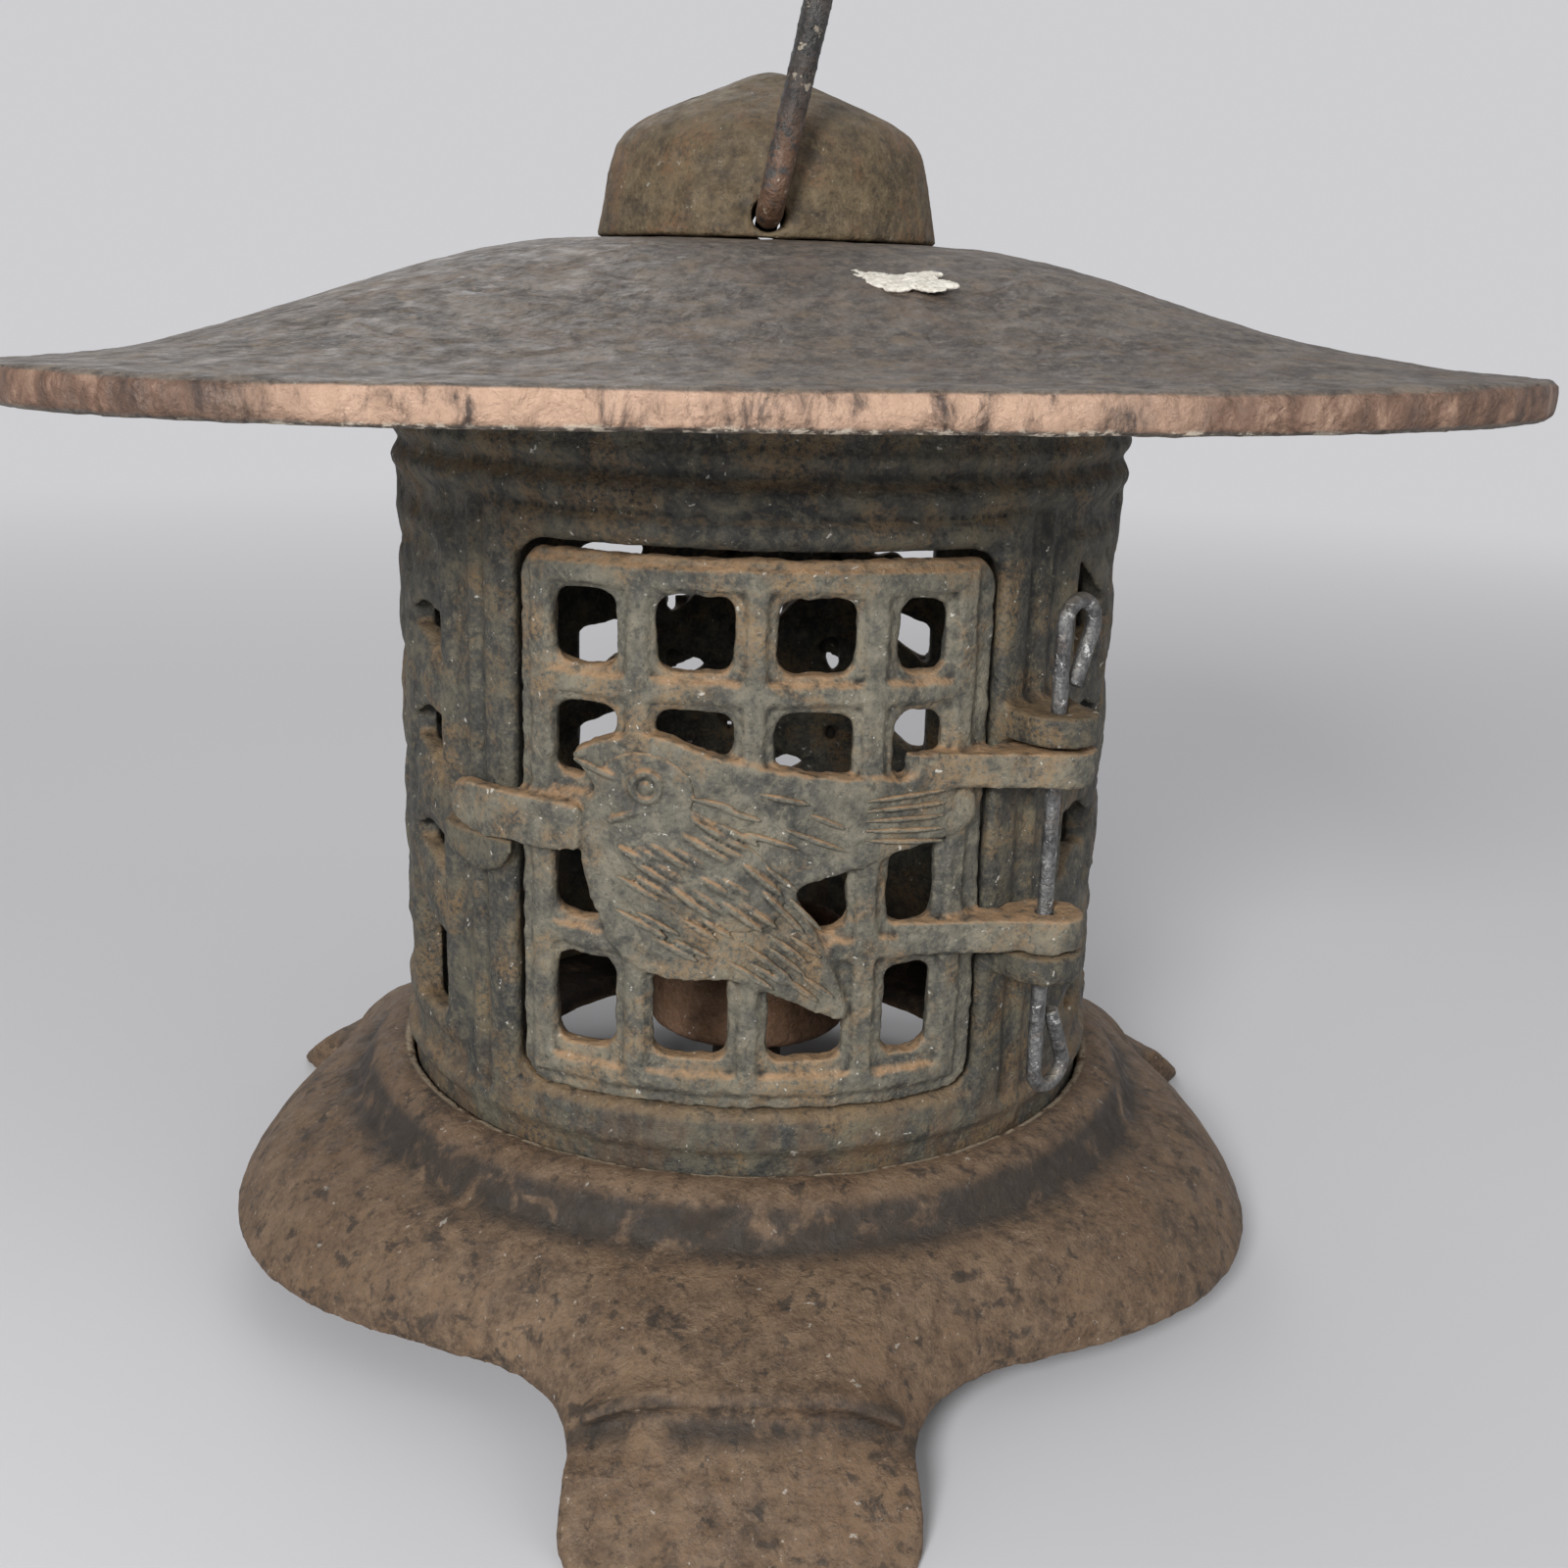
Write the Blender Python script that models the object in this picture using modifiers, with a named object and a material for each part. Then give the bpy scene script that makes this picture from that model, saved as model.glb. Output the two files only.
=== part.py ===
"""Cast-iron pagoda lantern with a hinged lattice door, built as separate pieces."""
import math

import bmesh
import bpy
from mathutils import Matrix, Vector

MM = 0.001

# Small gap between pieces that touch, and the spare length of a cutter past what it cuts
SEAT_GAP = 0.3
CUT_SPARE = 4.0

# Body shell
BODY_R = 70.0
BODY_WALL = 4.0
BODY_HIGH = 143.7
BODY_STEPS = 72
RAIL_STEP = 1.5
RAIL_HIGH = 12.1
BAND_STEP = 1.0
BAND_HIGH = 4.4
BAND_SLOPE = 1.2
RIB_AZIMUTHS = (45.5, 134.5, 225.5, 314.5)
RIB_WIDTH = 2.8
RIB_HEIGHT = 1.2

# Base casting: heights from the ground, radii from the body
FLOOR_TOP_Z = 33.7
FLOOR_THICK = 4.7
FLOOR_LOW_Z = FLOOR_TOP_Z - FLOOR_THICK
COLLAR_CLEARANCE = 0.6
COLLAR_HIGH = 6.7
COLLAR_TOP_Z = FLOOR_TOP_Z + COLLAR_HIGH
COLLAR_WIDTH = 11.4
COLLAR_R = BODY_R + COLLAR_CLEARANCE + COLLAR_WIDTH
COLLAR_FOOT_Z = COLLAR_TOP_Z - 9.0
FLANGE_THICK = 4.8
LIP_WIDTH = 26.6
LIP_R = COLLAR_R + LIP_WIDTH
LIP_Z = 20.0
TONGUE_Z = 16.0
TONGUE_LENGTH = 21.4
FOOT_R = LIP_R + TONGUE_LENGTH
FOOT_PAD_LENGTH = 12.0
FOOT_PAD_R = FOOT_R - FOOT_PAD_LENGTH
FOOT_HALF_WIDTH = 29.0
FOOT_CORNER = 13.0
FOOT_AZIMUTHS = (0.0, 132.0, 228.0)
LOBE_R = LIP_R - 1.2
NOTCH_DEPTH = 8.4
NOTCH_R = LOBE_R - NOTCH_DEPTH
FILLET_AZIMUTH = 30.0
BASE_STEPS = 84

# Levels of the stacked pieces
BODY_BOTTOM_Z = FLOOR_TOP_Z + SEAT_GAP
BODY_TOP_Z = BODY_BOTTOM_Z + BODY_HIGH
BAND_TOP_Z = BODY_TOP_Z - RAIL_HIGH - 2.0 * BAND_SLOPE - 0.8
RIB_LOW_Z = COLLAR_TOP_Z + 1.1
RIB_HIGH_Z = BODY_TOP_Z - RAIL_HIGH + 0.4

# Door and its opening
DOOR_R = BODY_R + 1.0
DOOR_THICK = 4.0
DOOR_LEFT_X = -40.6
DOOR_RIGHT_X = 39.7
DOOR_LOW_Z = 52.8
DOOR_HIGH_Z = 150.0
DOOR_CORNER = 5.0
DOOR_GAP = 0.8
DOOR_TOP_GAP = 1.2
PANE_COLUMNS = ((-34.4, -23.7), (-17.2, -4.1), (2.8, 16.0), (23.1, 31.3))
PANE_ROWS = ((62.0, 79.0), (86.0, 102.5), (111.5, 124.5), (131.0, 143.8))
PANE_CORNER = 2.6

# Sparrow relief
BIRD_INNER_R = DOOR_R - 2.6
BIRD_OUTER_R = DOOR_R + 2.2

# Hinge
PIN_RADIUS = 1.5
PIN_CLEARANCE = 0.4
EYE_RADIUS = 7.2
PIN_R = DOOR_R + EYE_RADIUS + SEAT_GAP
PIN_AZIMUTH = 41.6
BODY_LUG_HIGH = (118.0, 123.5)
BODY_LUG_LOW = (75.0, 80.2)
DOOR_LUG_HIGH = (111.0, 117.2)
DOOR_LUG_LOW = (81.0, 87.0)
LUG_FOOT_R = BODY_R - 1.5
PIN_LOOP_RADIUS = 4.0
PIN_LOOP_LENGTH = 13.0
PIN_TOP_Z = BODY_LUG_HIGH[1] + 2.0
PIN_LOW_Z = BODY_LUG_LOW[0] - 6.0

# Latch ear on the door and stop boss on the body
EAR_INNER_R = DOOR_R + 0.7
EAR_OUTER_R = DOOR_R + 4.2
EAR_LEFT_X = -54.5
EAR_ROOT_X = -33.0
EAR_LOW_Z = 98.5
EAR_HIGH_Z = 107.5
EAR_TIP_RADIUS = 0.5 * (EAR_HIGH_Z - EAR_LOW_Z)
BOSS_X = -49.2
BOSS_Z = EAR_LOW_Z - 0.5
BOSS_RADIUS = 7.0
BOSS_OUTER_R = BODY_R + 4.0

# Side and back windows
WINDOW_HALF_X = 41.0
WINDOW_LOW_Z = 57.0
WINDOW_HIGH_Z = 148.0
WINDOW_CORNER = 6.0
STALKS = ((-23.5, 6.0), (0.6, 7.0), (24.0, 5.6))
LEAF_LENGTH = 27.0
LEAF_WIDTH = 12.4
LEAF_ROWS = 4
LEAF_PITCH = 21.0
LEAF_STEPS = 4

# Roof
ROOF_TURN = 0.8
ROOF_HALF_SIDE = 121.5
ROOF_SQUARENESS = 5.5
ROOF_SEAT_Z = BODY_TOP_Z + SEAT_GAP
ROOF_RIM_Z = ROOF_SEAT_Z + 2.2
ROOF_RISE = 20.6
ROOF_TOP_Z = ROOF_RIM_Z + ROOF_RISE
ROOF_CORNER_LIFT = 1.2
ROOF_RIM_THICK = 6.2
ROOF_PLATE_THICK = 5.2
ROOF_PLATE_Z = ROOF_TOP_Z - ROOF_PLATE_THICK
ROOF_CROWN_R = 34.0
ROOF_FLARE_POWER = 1.08
ROOF_VENT_R = 16.0
ROOF_RING_OUT_R = BODY_R + 3.5
ROOF_RING_IN_R = BODY_R - 20.0
ROOF_BOLT_DEPTH = 9.0
ROOF_STEPS = 84
ROOF_TOP_RINGS = 9
ROOF_LOW_RINGS = 4

# Cap
CAP_BASE_R = ROOF_CROWN_R - 1.5
CAP_WALL = 3.6
CAP_HIGH = 30.7
CAP_LOW_Z = ROOF_TOP_Z + SEAT_GAP
CAP_TOP_Z = CAP_LOW_Z + CAP_HIGH
CAP_STEPS = 40
CAP_LUG_R = CAP_BASE_R - 10.0
CAP_LUG_AZIMUTHS = (86.3, 266.3)
CAP_LUG_HIGH = 7.0
CAP_LUG_PAD = 5.0

# Bail handle
BAIL_PIVOT_Z = CAP_LOW_Z + 3.9
BAIL_ROD = 2.5
BAIL_HOLE = BAIL_ROD + 0.6
BAIL_LEG_Y = CAP_BASE_R + 4.5
BAIL_LEG = 62.0
BAIL_BEND = 5.0
BAIL_END_Y = CAP_BASE_R - 8.5
BAIL_LEAN = 12.0

# Candle cup on its post
CUP_R = 21.0
CUP_WALL = 1.6
CUP_HIGH = 20.0
CUP_FLOOR = 4.0
CUP_POST_R = 7.5
CUP_LOW_Z = FLOOR_TOP_Z + 8.3
FLOOR_BAR_HALF = CUP_POST_R - 0.5

# Fasteners
BOLT_R = 2.5
BOLT_CLEARANCE = 0.4
HEX_R = 4.6
HEX_HIGH = 3.4
EAR_R = BODY_R - 12.0
EAR_PAD_R = 7.0
EAR_THICK = 5.0
BASE_BOLT_AZIMUTHS = (62.3, 182.3, 302.3)
ROOF_BOLT_AZIMUTHS = (43.3, 133.3, 223.3, 313.3)
EAR_STEP = 0.4
FLOOR_OPEN_R = EAR_R - EAR_PAD_R - 2.0

# Depth from front to back that a cutter seen from the front reaches through
FRONT_DEPTH = (-BODY_R - 20.0, -0.4 * BODY_R)

PARTS = None
CUTTERS = None


def polar(radius, azimuth_deg):
    """Plan point at an azimuth counted from the front (-Y) towards +X."""
    turn = math.radians(azimuth_deg)
    return (radius * math.sin(turn), -radius * math.cos(turn))


def clear_scene():
    """Empty the scene and make the two collections."""
    global PARTS, CUTTERS
    for item in list(bpy.data.objects):
        bpy.data.objects.remove(item, do_unlink=True)
    PARTS = bpy.data.collections.new("pagoda_lantern")
    CUTTERS = bpy.data.collections.new("pagoda_lantern_cutters")
    for group in (PARTS, CUTTERS):
        bpy.context.scene.collection.children.link(group)


def add_object(name, mesh, is_part):
    """Link a mesh as a piece or as a hidden cutter."""
    item = bpy.data.objects.new(name, mesh)
    if is_part:
        PARTS.objects.link(item)
        return item
    CUTTERS.objects.link(item)
    item.hide_render = True
    item.display_type = "WIRE"
    return item


def baked(item, name, is_part):
    """Replace an object by a plain mesh of its evaluated shape."""
    bpy.context.view_layer.update()
    graph = bpy.context.evaluated_depsgraph_get()
    source = item.evaluated_get(graph)
    mesh = bpy.data.meshes.new_from_object(source)
    mesh.transform(item.matrix_world)
    bpy.data.objects.remove(item, do_unlink=True)
    work = bmesh.new()
    work.from_mesh(mesh)
    bmesh.ops.remove_doubles(work, verts=work.verts, dist=0.002 * MM)
    bmesh.ops.recalc_face_normals(work, faces=work.faces)
    work.to_mesh(mesh)
    work.free()
    mesh.materials.clear()
    return add_object(name, mesh, is_part)


def prism(name, outline, low, high, along, is_part=False):
    """Flat closed outline made solid between two levels along Z or along Y."""
    curve = bpy.data.curves.new(name, "CURVE")
    curve.dimensions = "2D"
    curve.fill_mode = "BOTH"
    curve.extrude = 0.5 * (high - low) * MM
    spline = curve.splines.new("POLY")
    spline.points.add(len(outline) - 1)
    for point, (first, second) in zip(spline.points, outline):
        point.co = (first * MM, second * MM, 0.0, 1.0)
    spline.use_cyclic_u = True
    item = bpy.data.objects.new(name + "_outline", curve)
    CUTTERS.objects.link(item)
    middle = 0.5 * (low + high) * MM
    if along == "Z":
        item.location = (0.0, 0.0, middle)
    else:
        item.rotation_euler = (math.radians(90.0), 0.0, 0.0)
        item.location = (0.0, middle, 0.0)
    return baked(item, name, is_part)


def turned(name, profile, steps, is_part, closed=True):
    """Piece of revolution about Z from a profile of radius and height."""
    mesh = bpy.data.meshes.new(name)
    verts = [(radius * MM, 0.0, height * MM) for radius, height in profile]
    edges = [(i, i + 1) for i in range(len(profile) - 1)]
    if closed:
        edges.append((len(profile) - 1, 0))
    mesh.from_pydata(verts, edges, [])
    item = add_object(name, mesh, is_part)
    screw = item.modifiers.new("turn", "SCREW")
    screw.axis = "Z"
    screw.angle = math.tau
    screw.steps = steps
    screw.render_steps = steps
    screw.use_merge_vertices = True
    screw.merge_threshold = 0.01 * MM
    return item


def ring_sector(name, inner_r, outer_r, outline):
    """Part of a tube wall that lies inside an outline seen from the front."""
    lows = min(point[1] for point in outline) - 5.0
    highs = max(point[1] for point in outline) + 5.0
    profile = ((outer_r, highs), (outer_r, lows), (inner_r, lows), (inner_r, highs))
    tube = turned(name, profile, BODY_STEPS, False)
    boolean(tube, "INTERSECT", prism(name + "_shape", outline, *FRONT_DEPTH, "Y"))
    return tube


def rod(name, radius, low, high, place, segments=24):
    """Round bar along Z used to drill or to add a boss."""
    mesh = bpy.data.meshes.new(name)
    work = bmesh.new()
    shift = Matrix.Translation((place[0] * MM, place[1] * MM, 0.5 * (low + high) * MM))
    bmesh.ops.create_cone(work, cap_ends=True, segments=segments, radius1=radius * MM,
                          radius2=radius * MM, depth=(high - low) * MM, matrix=shift)
    work.to_mesh(mesh)
    work.free()
    return add_object(name, mesh, False)


def boolean(item, operation, other, solver="EXACT", own=False):
    """Cut, join or keep the common volume of two pieces."""
    step = item.modifiers.new(operation.lower() + "_" + other.name, "BOOLEAN")
    step.operation = operation
    step.object = other
    step.solver = solver
    step.use_self = own
    return step


def rounded_box(left, right, low, high, radius, steps=5):
    """Rectangle with rounded corners as a closed outline."""
    points = []
    corners = ((right - radius, high - radius, 0.0), (left + radius, high - radius, 90.0),
               (left + radius, low + radius, 180.0), (right - radius, low + radius, 270.0))
    for centre_x, centre_z, start in corners:
        for i in range(steps + 1):
            turn = math.radians(start + 90.0 * i / steps)
            points.append((centre_x + radius * math.cos(turn), centre_z + radius * math.sin(turn)))
    return points


def smooth_loop(knots, steps):
    """Closed smooth outline through a few knots."""
    count = len(knots)
    points = []
    for i in range(count):
        before, start = knots[i - 1], knots[i]
        end, after = knots[(i + 1) % count], knots[(i + 2) % count]
        for k in range(steps):
            t = k / steps
            point = []
            for axis in (0, 1):
                slope_a = 0.5 * (end[axis] - before[axis])
                slope_b = 0.5 * (after[axis] - start[axis])
                value = start[axis] + t * slope_a
                value += t * t * (3.0 * (end[axis] - start[axis]) - 2.0 * slope_a - slope_b)
                value += t ** 3 * (2.0 * (start[axis] - end[axis]) + slope_a + slope_b)
                point.append(value)
            points.append(tuple(point))
    return points


def wire(name, points, radius, is_part):
    """Round wire along a line of points with closed ends."""
    curve = bpy.data.curves.new(name, "CURVE")
    curve.dimensions = "3D"
    curve.bevel_depth = radius * MM
    curve.bevel_resolution = 2
    curve.use_fill_caps = True
    spline = curve.splines.new("POLY")
    spline.points.add(len(points) - 1)
    for point, place in zip(spline.points, points):
        point.co = (place[0] * MM, place[1] * MM, place[2] * MM, 1.0)
    item = bpy.data.objects.new(name + "_path", curve)
    CUTTERS.objects.link(item)
    return baked(item, name, is_part)


def lug_outline(start_azimuth, end_azimuth, foot_r, out_r):
    """Plan of a lug between a wall and the eye round the hinge pin."""
    pin_x, pin_y = polar(PIN_R, PIN_AZIMUTH)
    points = [polar(foot_r, start_azimuth), polar(out_r, start_azimuth)]
    facing = math.atan2(pin_y, pin_x)
    for i in range(9):
        turn = facing + math.radians(-90.0 + 180.0 * i / 8)
        points.append((pin_x + EYE_RADIUS * math.cos(turn), pin_y + EYE_RADIUS * math.sin(turn)))
    points.append(polar(foot_r, end_azimuth))
    return points


def door_arm_outline():
    """Plan of a door knuckle that clears the body wall on its way to the pin."""
    pin_x, pin_y = polar(PIN_R, PIN_AZIMUTH)
    edge_azimuth = math.degrees(math.asin((DOOR_RIGHT_X - 1.0) / DOOR_R))
    clear_r = DOOR_R + 0.3
    points = [polar(DOOR_R - 1.5, 21.0), polar(DOOR_R + 1.2, 21.0)]
    facing = math.atan2(pin_y, pin_x)
    for i in range(11):
        turn = facing + math.radians(-75.0 + 230.0 * i / 10)
        points.append((pin_x + EYE_RADIUS * math.cos(turn), pin_y + EYE_RADIUS * math.sin(turn)))
    points.append(polar(clear_r, edge_azimuth + 3.0))
    points.append(polar(clear_r, edge_azimuth))
    points.append(polar(DOOR_R - 1.5, edge_azimuth))
    return points


def window_cutter():
    """Pierced window seen from the front: a panel less bamboo stalks and leaves."""
    frame = rounded_box(-WINDOW_HALF_X, WINDOW_HALF_X, WINDOW_LOW_Z, WINDOW_HIGH_Z, WINDOW_CORNER)
    panel = prism("window_panel", frame, -BODY_R - 16.0, -0.54 * BODY_R, "Y")
    index = 0
    for centre, width in STALKS:
        half = 0.5 * width
        stem = [(centre - half, WINDOW_LOW_Z - 3.0), (centre + half, WINDOW_LOW_Z - 3.0),
                (centre + half, WINDOW_HIGH_Z + 3.0), (centre - half, WINDOW_HIGH_Z + 3.0)]
        boolean(panel, "DIFFERENCE", prism("stalk_%d" % index, stem, *FRONT_DEPTH, "Y"))
        index += 1
    for place, (root_x, _) in enumerate(STALKS):
        for row in range(LEAF_ROWS):
            for side in (-1.0, 1.0):
                root_z = WINDOW_LOW_Z + 18.0 + LEAF_PITCH * row + 5.0 * side + 3.0 * place
                slant = math.radians(-30.0 - 6.0 * ((row + place) % 2))
                along = (side * math.cos(slant), math.sin(slant))
                leaf = prism("leaf_%d" % index, leaf_outline(root_x, root_z, along), *FRONT_DEPTH, "Y")
                boolean(panel, "DIFFERENCE", leaf)
                index += 1
    return baked(panel, "window_pattern", False)


def leaf_outline(root_x, root_z, along):
    """Slim pointed leaf that starts inside its stalk."""
    across = (-along[1], along[0])
    points = []
    for sign in (1.0, -1.0):
        for i in range(LEAF_STEPS):
            t = i / LEAF_STEPS if sign > 0.0 else 1.0 - i / LEAF_STEPS
            half = sign * 0.5 * LEAF_WIDTH * math.sin(math.pi * (0.12 + 0.88 * t) ** 0.8)
            reach = LEAF_LENGTH * t
            points.append((root_x + along[0] * reach + across[0] * half,
                           root_z + along[1] * reach + across[1] * half))
    return points


def build_body():
    """Cylinder with bands, door opening, pierced windows, ribs, lugs and inner ears."""
    inner = BODY_R - BODY_WALL
    profile = [
        (BODY_R + RAIL_STEP, BODY_TOP_Z), (BODY_R + RAIL_STEP, BODY_TOP_Z - RAIL_HIGH),
        (BODY_R + 0.2, BODY_TOP_Z - RAIL_HIGH - BAND_SLOPE), (BODY_R + 0.2, BAND_TOP_Z + BAND_SLOPE),
        (BODY_R + BAND_STEP, BAND_TOP_Z), (BODY_R + BAND_STEP, BAND_TOP_Z - BAND_HIGH),
        (BODY_R, BAND_TOP_Z - BAND_HIGH - BAND_SLOPE), (BODY_R, BODY_BOTTOM_Z), (inner, BODY_BOTTOM_Z),
        (inner, BODY_TOP_Z)]
    body = turned("body", profile, BODY_STEPS, True)
    opening = rounded_box(DOOR_LEFT_X - DOOR_GAP, DOOR_RIGHT_X + DOOR_GAP, DOOR_LOW_Z - DOOR_GAP,
                          DOOR_HIGH_Z + DOOR_TOP_GAP, DOOR_CORNER)
    boolean(body, "DIFFERENCE", prism("door_opening", opening, *FRONT_DEPTH, "Y"))
    pattern = window_cutter()
    for index, azimuth in enumerate((90.0, 180.0, 270.0)):
        cutter = add_object("window_%d" % index, pattern.data.copy(), False)
        cutter.data.transform(Matrix.Rotation(math.radians(azimuth), 4, "Z"))
        boolean(body, "DIFFERENCE", cutter)
    for index, azimuth in enumerate(RIB_AZIMUTHS):
        centre = polar(BODY_R, azimuth)
        turn = math.radians(azimuth)
        half = 0.5 * RIB_WIDTH
        outline = []
        for across, out in ((-half, -1.5), (half, -1.5), (half * 0.6, RIB_HEIGHT), (-half * 0.6, RIB_HEIGHT)):
            outline.append((centre[0] + across * math.cos(turn) + out * math.sin(turn),
                            centre[1] + across * math.sin(turn) - out * math.cos(turn)))
        boolean(body, "UNION", prism("rib_%d" % index, outline, RIB_LOW_Z, RIB_HIGH_Z, "Z"))
    for index, (low, high) in enumerate((BODY_LUG_HIGH, BODY_LUG_LOW)):
        outline = lug_outline(36.5, 54.0, LUG_FOOT_R, BODY_R + 1.6)
        boolean(body, "UNION", prism("body_lug_%d" % index, outline, low, high, "Z"))
    half_round = [(BOSS_X + BOSS_RADIUS * math.cos(math.radians(a)),
                   BOSS_Z - BOSS_RADIUS * math.sin(math.radians(a))) for a in range(0, 181, 15)]
    boolean(body, "UNION", ring_sector("boss", LUG_FOOT_R, BOSS_OUTER_R, half_round))
    for index, azimuth in enumerate(BASE_BOLT_AZIMUTHS):
        add_inner_ear(body, "low_ear_%d" % index, azimuth, BODY_BOTTOM_Z + EAR_STEP)
    for index, azimuth in enumerate(ROOF_BOLT_AZIMUTHS):
        add_inner_ear(body, "high_ear_%d" % index, azimuth, BODY_TOP_Z - EAR_THICK - EAR_STEP)
    hole = rod("pin_hole_body", PIN_RADIUS + PIN_CLEARANCE, BODY_LUG_LOW[0] - CUT_SPARE,
               BODY_LUG_HIGH[1] + CUT_SPARE, polar(PIN_R, PIN_AZIMUTH), 16)
    boolean(body, "DIFFERENCE", hole)
    return body


def ear_outline(azimuth, centre_r, pad_r, reach):
    """Plan of an ear that runs from a round pad out into a wall."""
    turn = math.radians(azimuth)
    points = []
    for i in range(9):
        angle = math.radians(90.0 + 180.0 * i / 8)
        points.append((centre_r + pad_r * math.cos(angle), pad_r * math.sin(angle)))
    points.append((reach, -pad_r))
    points.append((reach, pad_r))
    return [(out * math.sin(turn) + across * math.cos(turn),
             -out * math.cos(turn) + across * math.sin(turn)) for out, across in points]


def add_inner_ear(body, name, azimuth, low):
    """Drilled ear inside the wall that takes one bolt."""
    outline = ear_outline(azimuth, EAR_R, EAR_PAD_R, BODY_R - BODY_WALL + 1.5)
    boolean(body, "UNION", prism(name, outline, low, low + EAR_THICK, "Z"))
    boolean(body, "DIFFERENCE", rod(name + "_hole", BOLT_R + BOLT_CLEARANCE, low - CUT_SPARE,
                                    low + EAR_THICK + CUT_SPARE, polar(EAR_R, azimuth), 16))


def bird_knots():
    """Sparrow facing left with its tail to the right and a folded wing pointing down."""
    return ((-31.2, 115.6), (-25.0, 119.0), (-17.4, 120.4), (-10.0, 118.2), (-4.5, 116.6), (3.0, 115.4),
            (16.0, 113.6), (30.0, 112.8), (37.0, 111.0), (37.4, 104.0), (30.0, 101.6), (23.0, 99.8),
            (15.0, 97.0), (7.0, 94.0), (11.0, 86.0), (14.6, 78.0), (16.6, 70.4), (10.0, 72.4),
            (3.9, 75.2), (-4.0, 77.6), (-15.6, 77.4), (-22.0, 80.6), (-26.6, 87.0), (-29.6, 96.0),
            (-29.2, 104.0), (-27.6, 110.4))


def build_door():
    """Curved lattice door with a sparrow, latch ear and two knuckles."""
    outline = rounded_box(DOOR_LEFT_X, DOOR_RIGHT_X, DOOR_LOW_Z, DOOR_HIGH_Z, DOOR_CORNER)
    door = ring_sector("door_wall", DOOR_R - DOOR_THICK, DOOR_R, outline)
    index = 0
    for left, right in PANE_COLUMNS:
        for low, high in PANE_ROWS:
            pane = rounded_box(left, right, low, high, PANE_CORNER, 3)
            boolean(door, "DIFFERENCE", prism("pane_%d" % index, pane, *FRONT_DEPTH, "Y"))
            index += 1
    bird = ring_sector("bird", BIRD_INNER_R, BIRD_OUTER_R, smooth_loop(bird_knots(), 3))
    boolean(door, "UNION", bird)
    tip_z = 0.5 * (EAR_LOW_Z + EAR_HIGH_Z)
    ear = [(EAR_ROOT_X, EAR_LOW_Z), (EAR_ROOT_X, EAR_HIGH_Z)]
    for i in range(9):
        angle = math.radians(90.0 + 180.0 * i / 8)
        ear.append((EAR_LEFT_X + EAR_TIP_RADIUS + EAR_TIP_RADIUS * math.cos(angle),
                    tip_z + EAR_TIP_RADIUS * math.sin(angle)))
    boolean(door, "UNION", ring_sector("latch_ear", EAR_INNER_R, EAR_OUTER_R, ear))
    root = rounded_box(DOOR_LEFT_X + 1.0, EAR_ROOT_X + 3.0, EAR_LOW_Z + 0.5, EAR_HIGH_Z - 0.5, 1.0, 2)
    boolean(door, "UNION", ring_sector("latch_root", DOOR_R - 1.5, EAR_OUTER_R - 0.3, root))
    for index, (low, high) in enumerate((DOOR_LUG_HIGH, DOOR_LUG_LOW)):
        boolean(door, "UNION", prism("door_lug_%d" % index, door_arm_outline(), low, high, "Z"))
    hole = rod("pin_hole_door", PIN_RADIUS + PIN_CLEARANCE, DOOR_LUG_LOW[0] - CUT_SPARE,
               DOOR_LUG_HIGH[1] + CUT_SPARE, polar(PIN_R, PIN_AZIMUTH), 16)
    boolean(door, "DIFFERENCE", hole)
    leaf = baked(door, "door", True)
    hinge_x, hinge_y = polar(PIN_R, PIN_AZIMUTH)
    leaf.data.transform(Matrix.Translation((-hinge_x * MM, -hinge_y * MM, 0.0)))
    leaf.location = (hinge_x * MM, hinge_y * MM, 0.0)
    return leaf


def build_pin():
    """Loose wire pin bent to an open loop at each end."""
    centre_x, centre_y = polar(PIN_R, PIN_AZIMUTH)
    turn = math.radians(PIN_AZIMUTH)
    side = (math.cos(turn), math.sin(turn))
    upper = []
    for i in range(13):
        angle = math.radians(180.0 - 205.0 * i / 12)
        upper.append((PIN_LOOP_RADIUS * (1.0 + math.cos(angle)), PIN_LOOP_RADIUS * math.sin(angle)))
    points = []
    tail = 2.0 * PIN_RADIUS + 0.6
    for across, rise in [(tail, -PIN_LOOP_LENGTH + 2.0)] + list(reversed(upper)) + [(0.0, -PIN_LOOP_LENGTH)]:
        points.append((across, PIN_TOP_Z + PIN_LOOP_LENGTH + rise))
    lower = [(across, -rise) for across, rise in upper]
    for across, rise in [(0.0, PIN_LOOP_LENGTH)] + lower + [(tail, PIN_LOOP_LENGTH - 2.0)]:
        points.append((across, PIN_LOW_Z - PIN_LOOP_LENGTH + rise))
    path = [(centre_x + across * side[0], centre_y + across * side[1], height) for across, height in points]
    return wire("hinge_pin", path, PIN_RADIUS, True)


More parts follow.
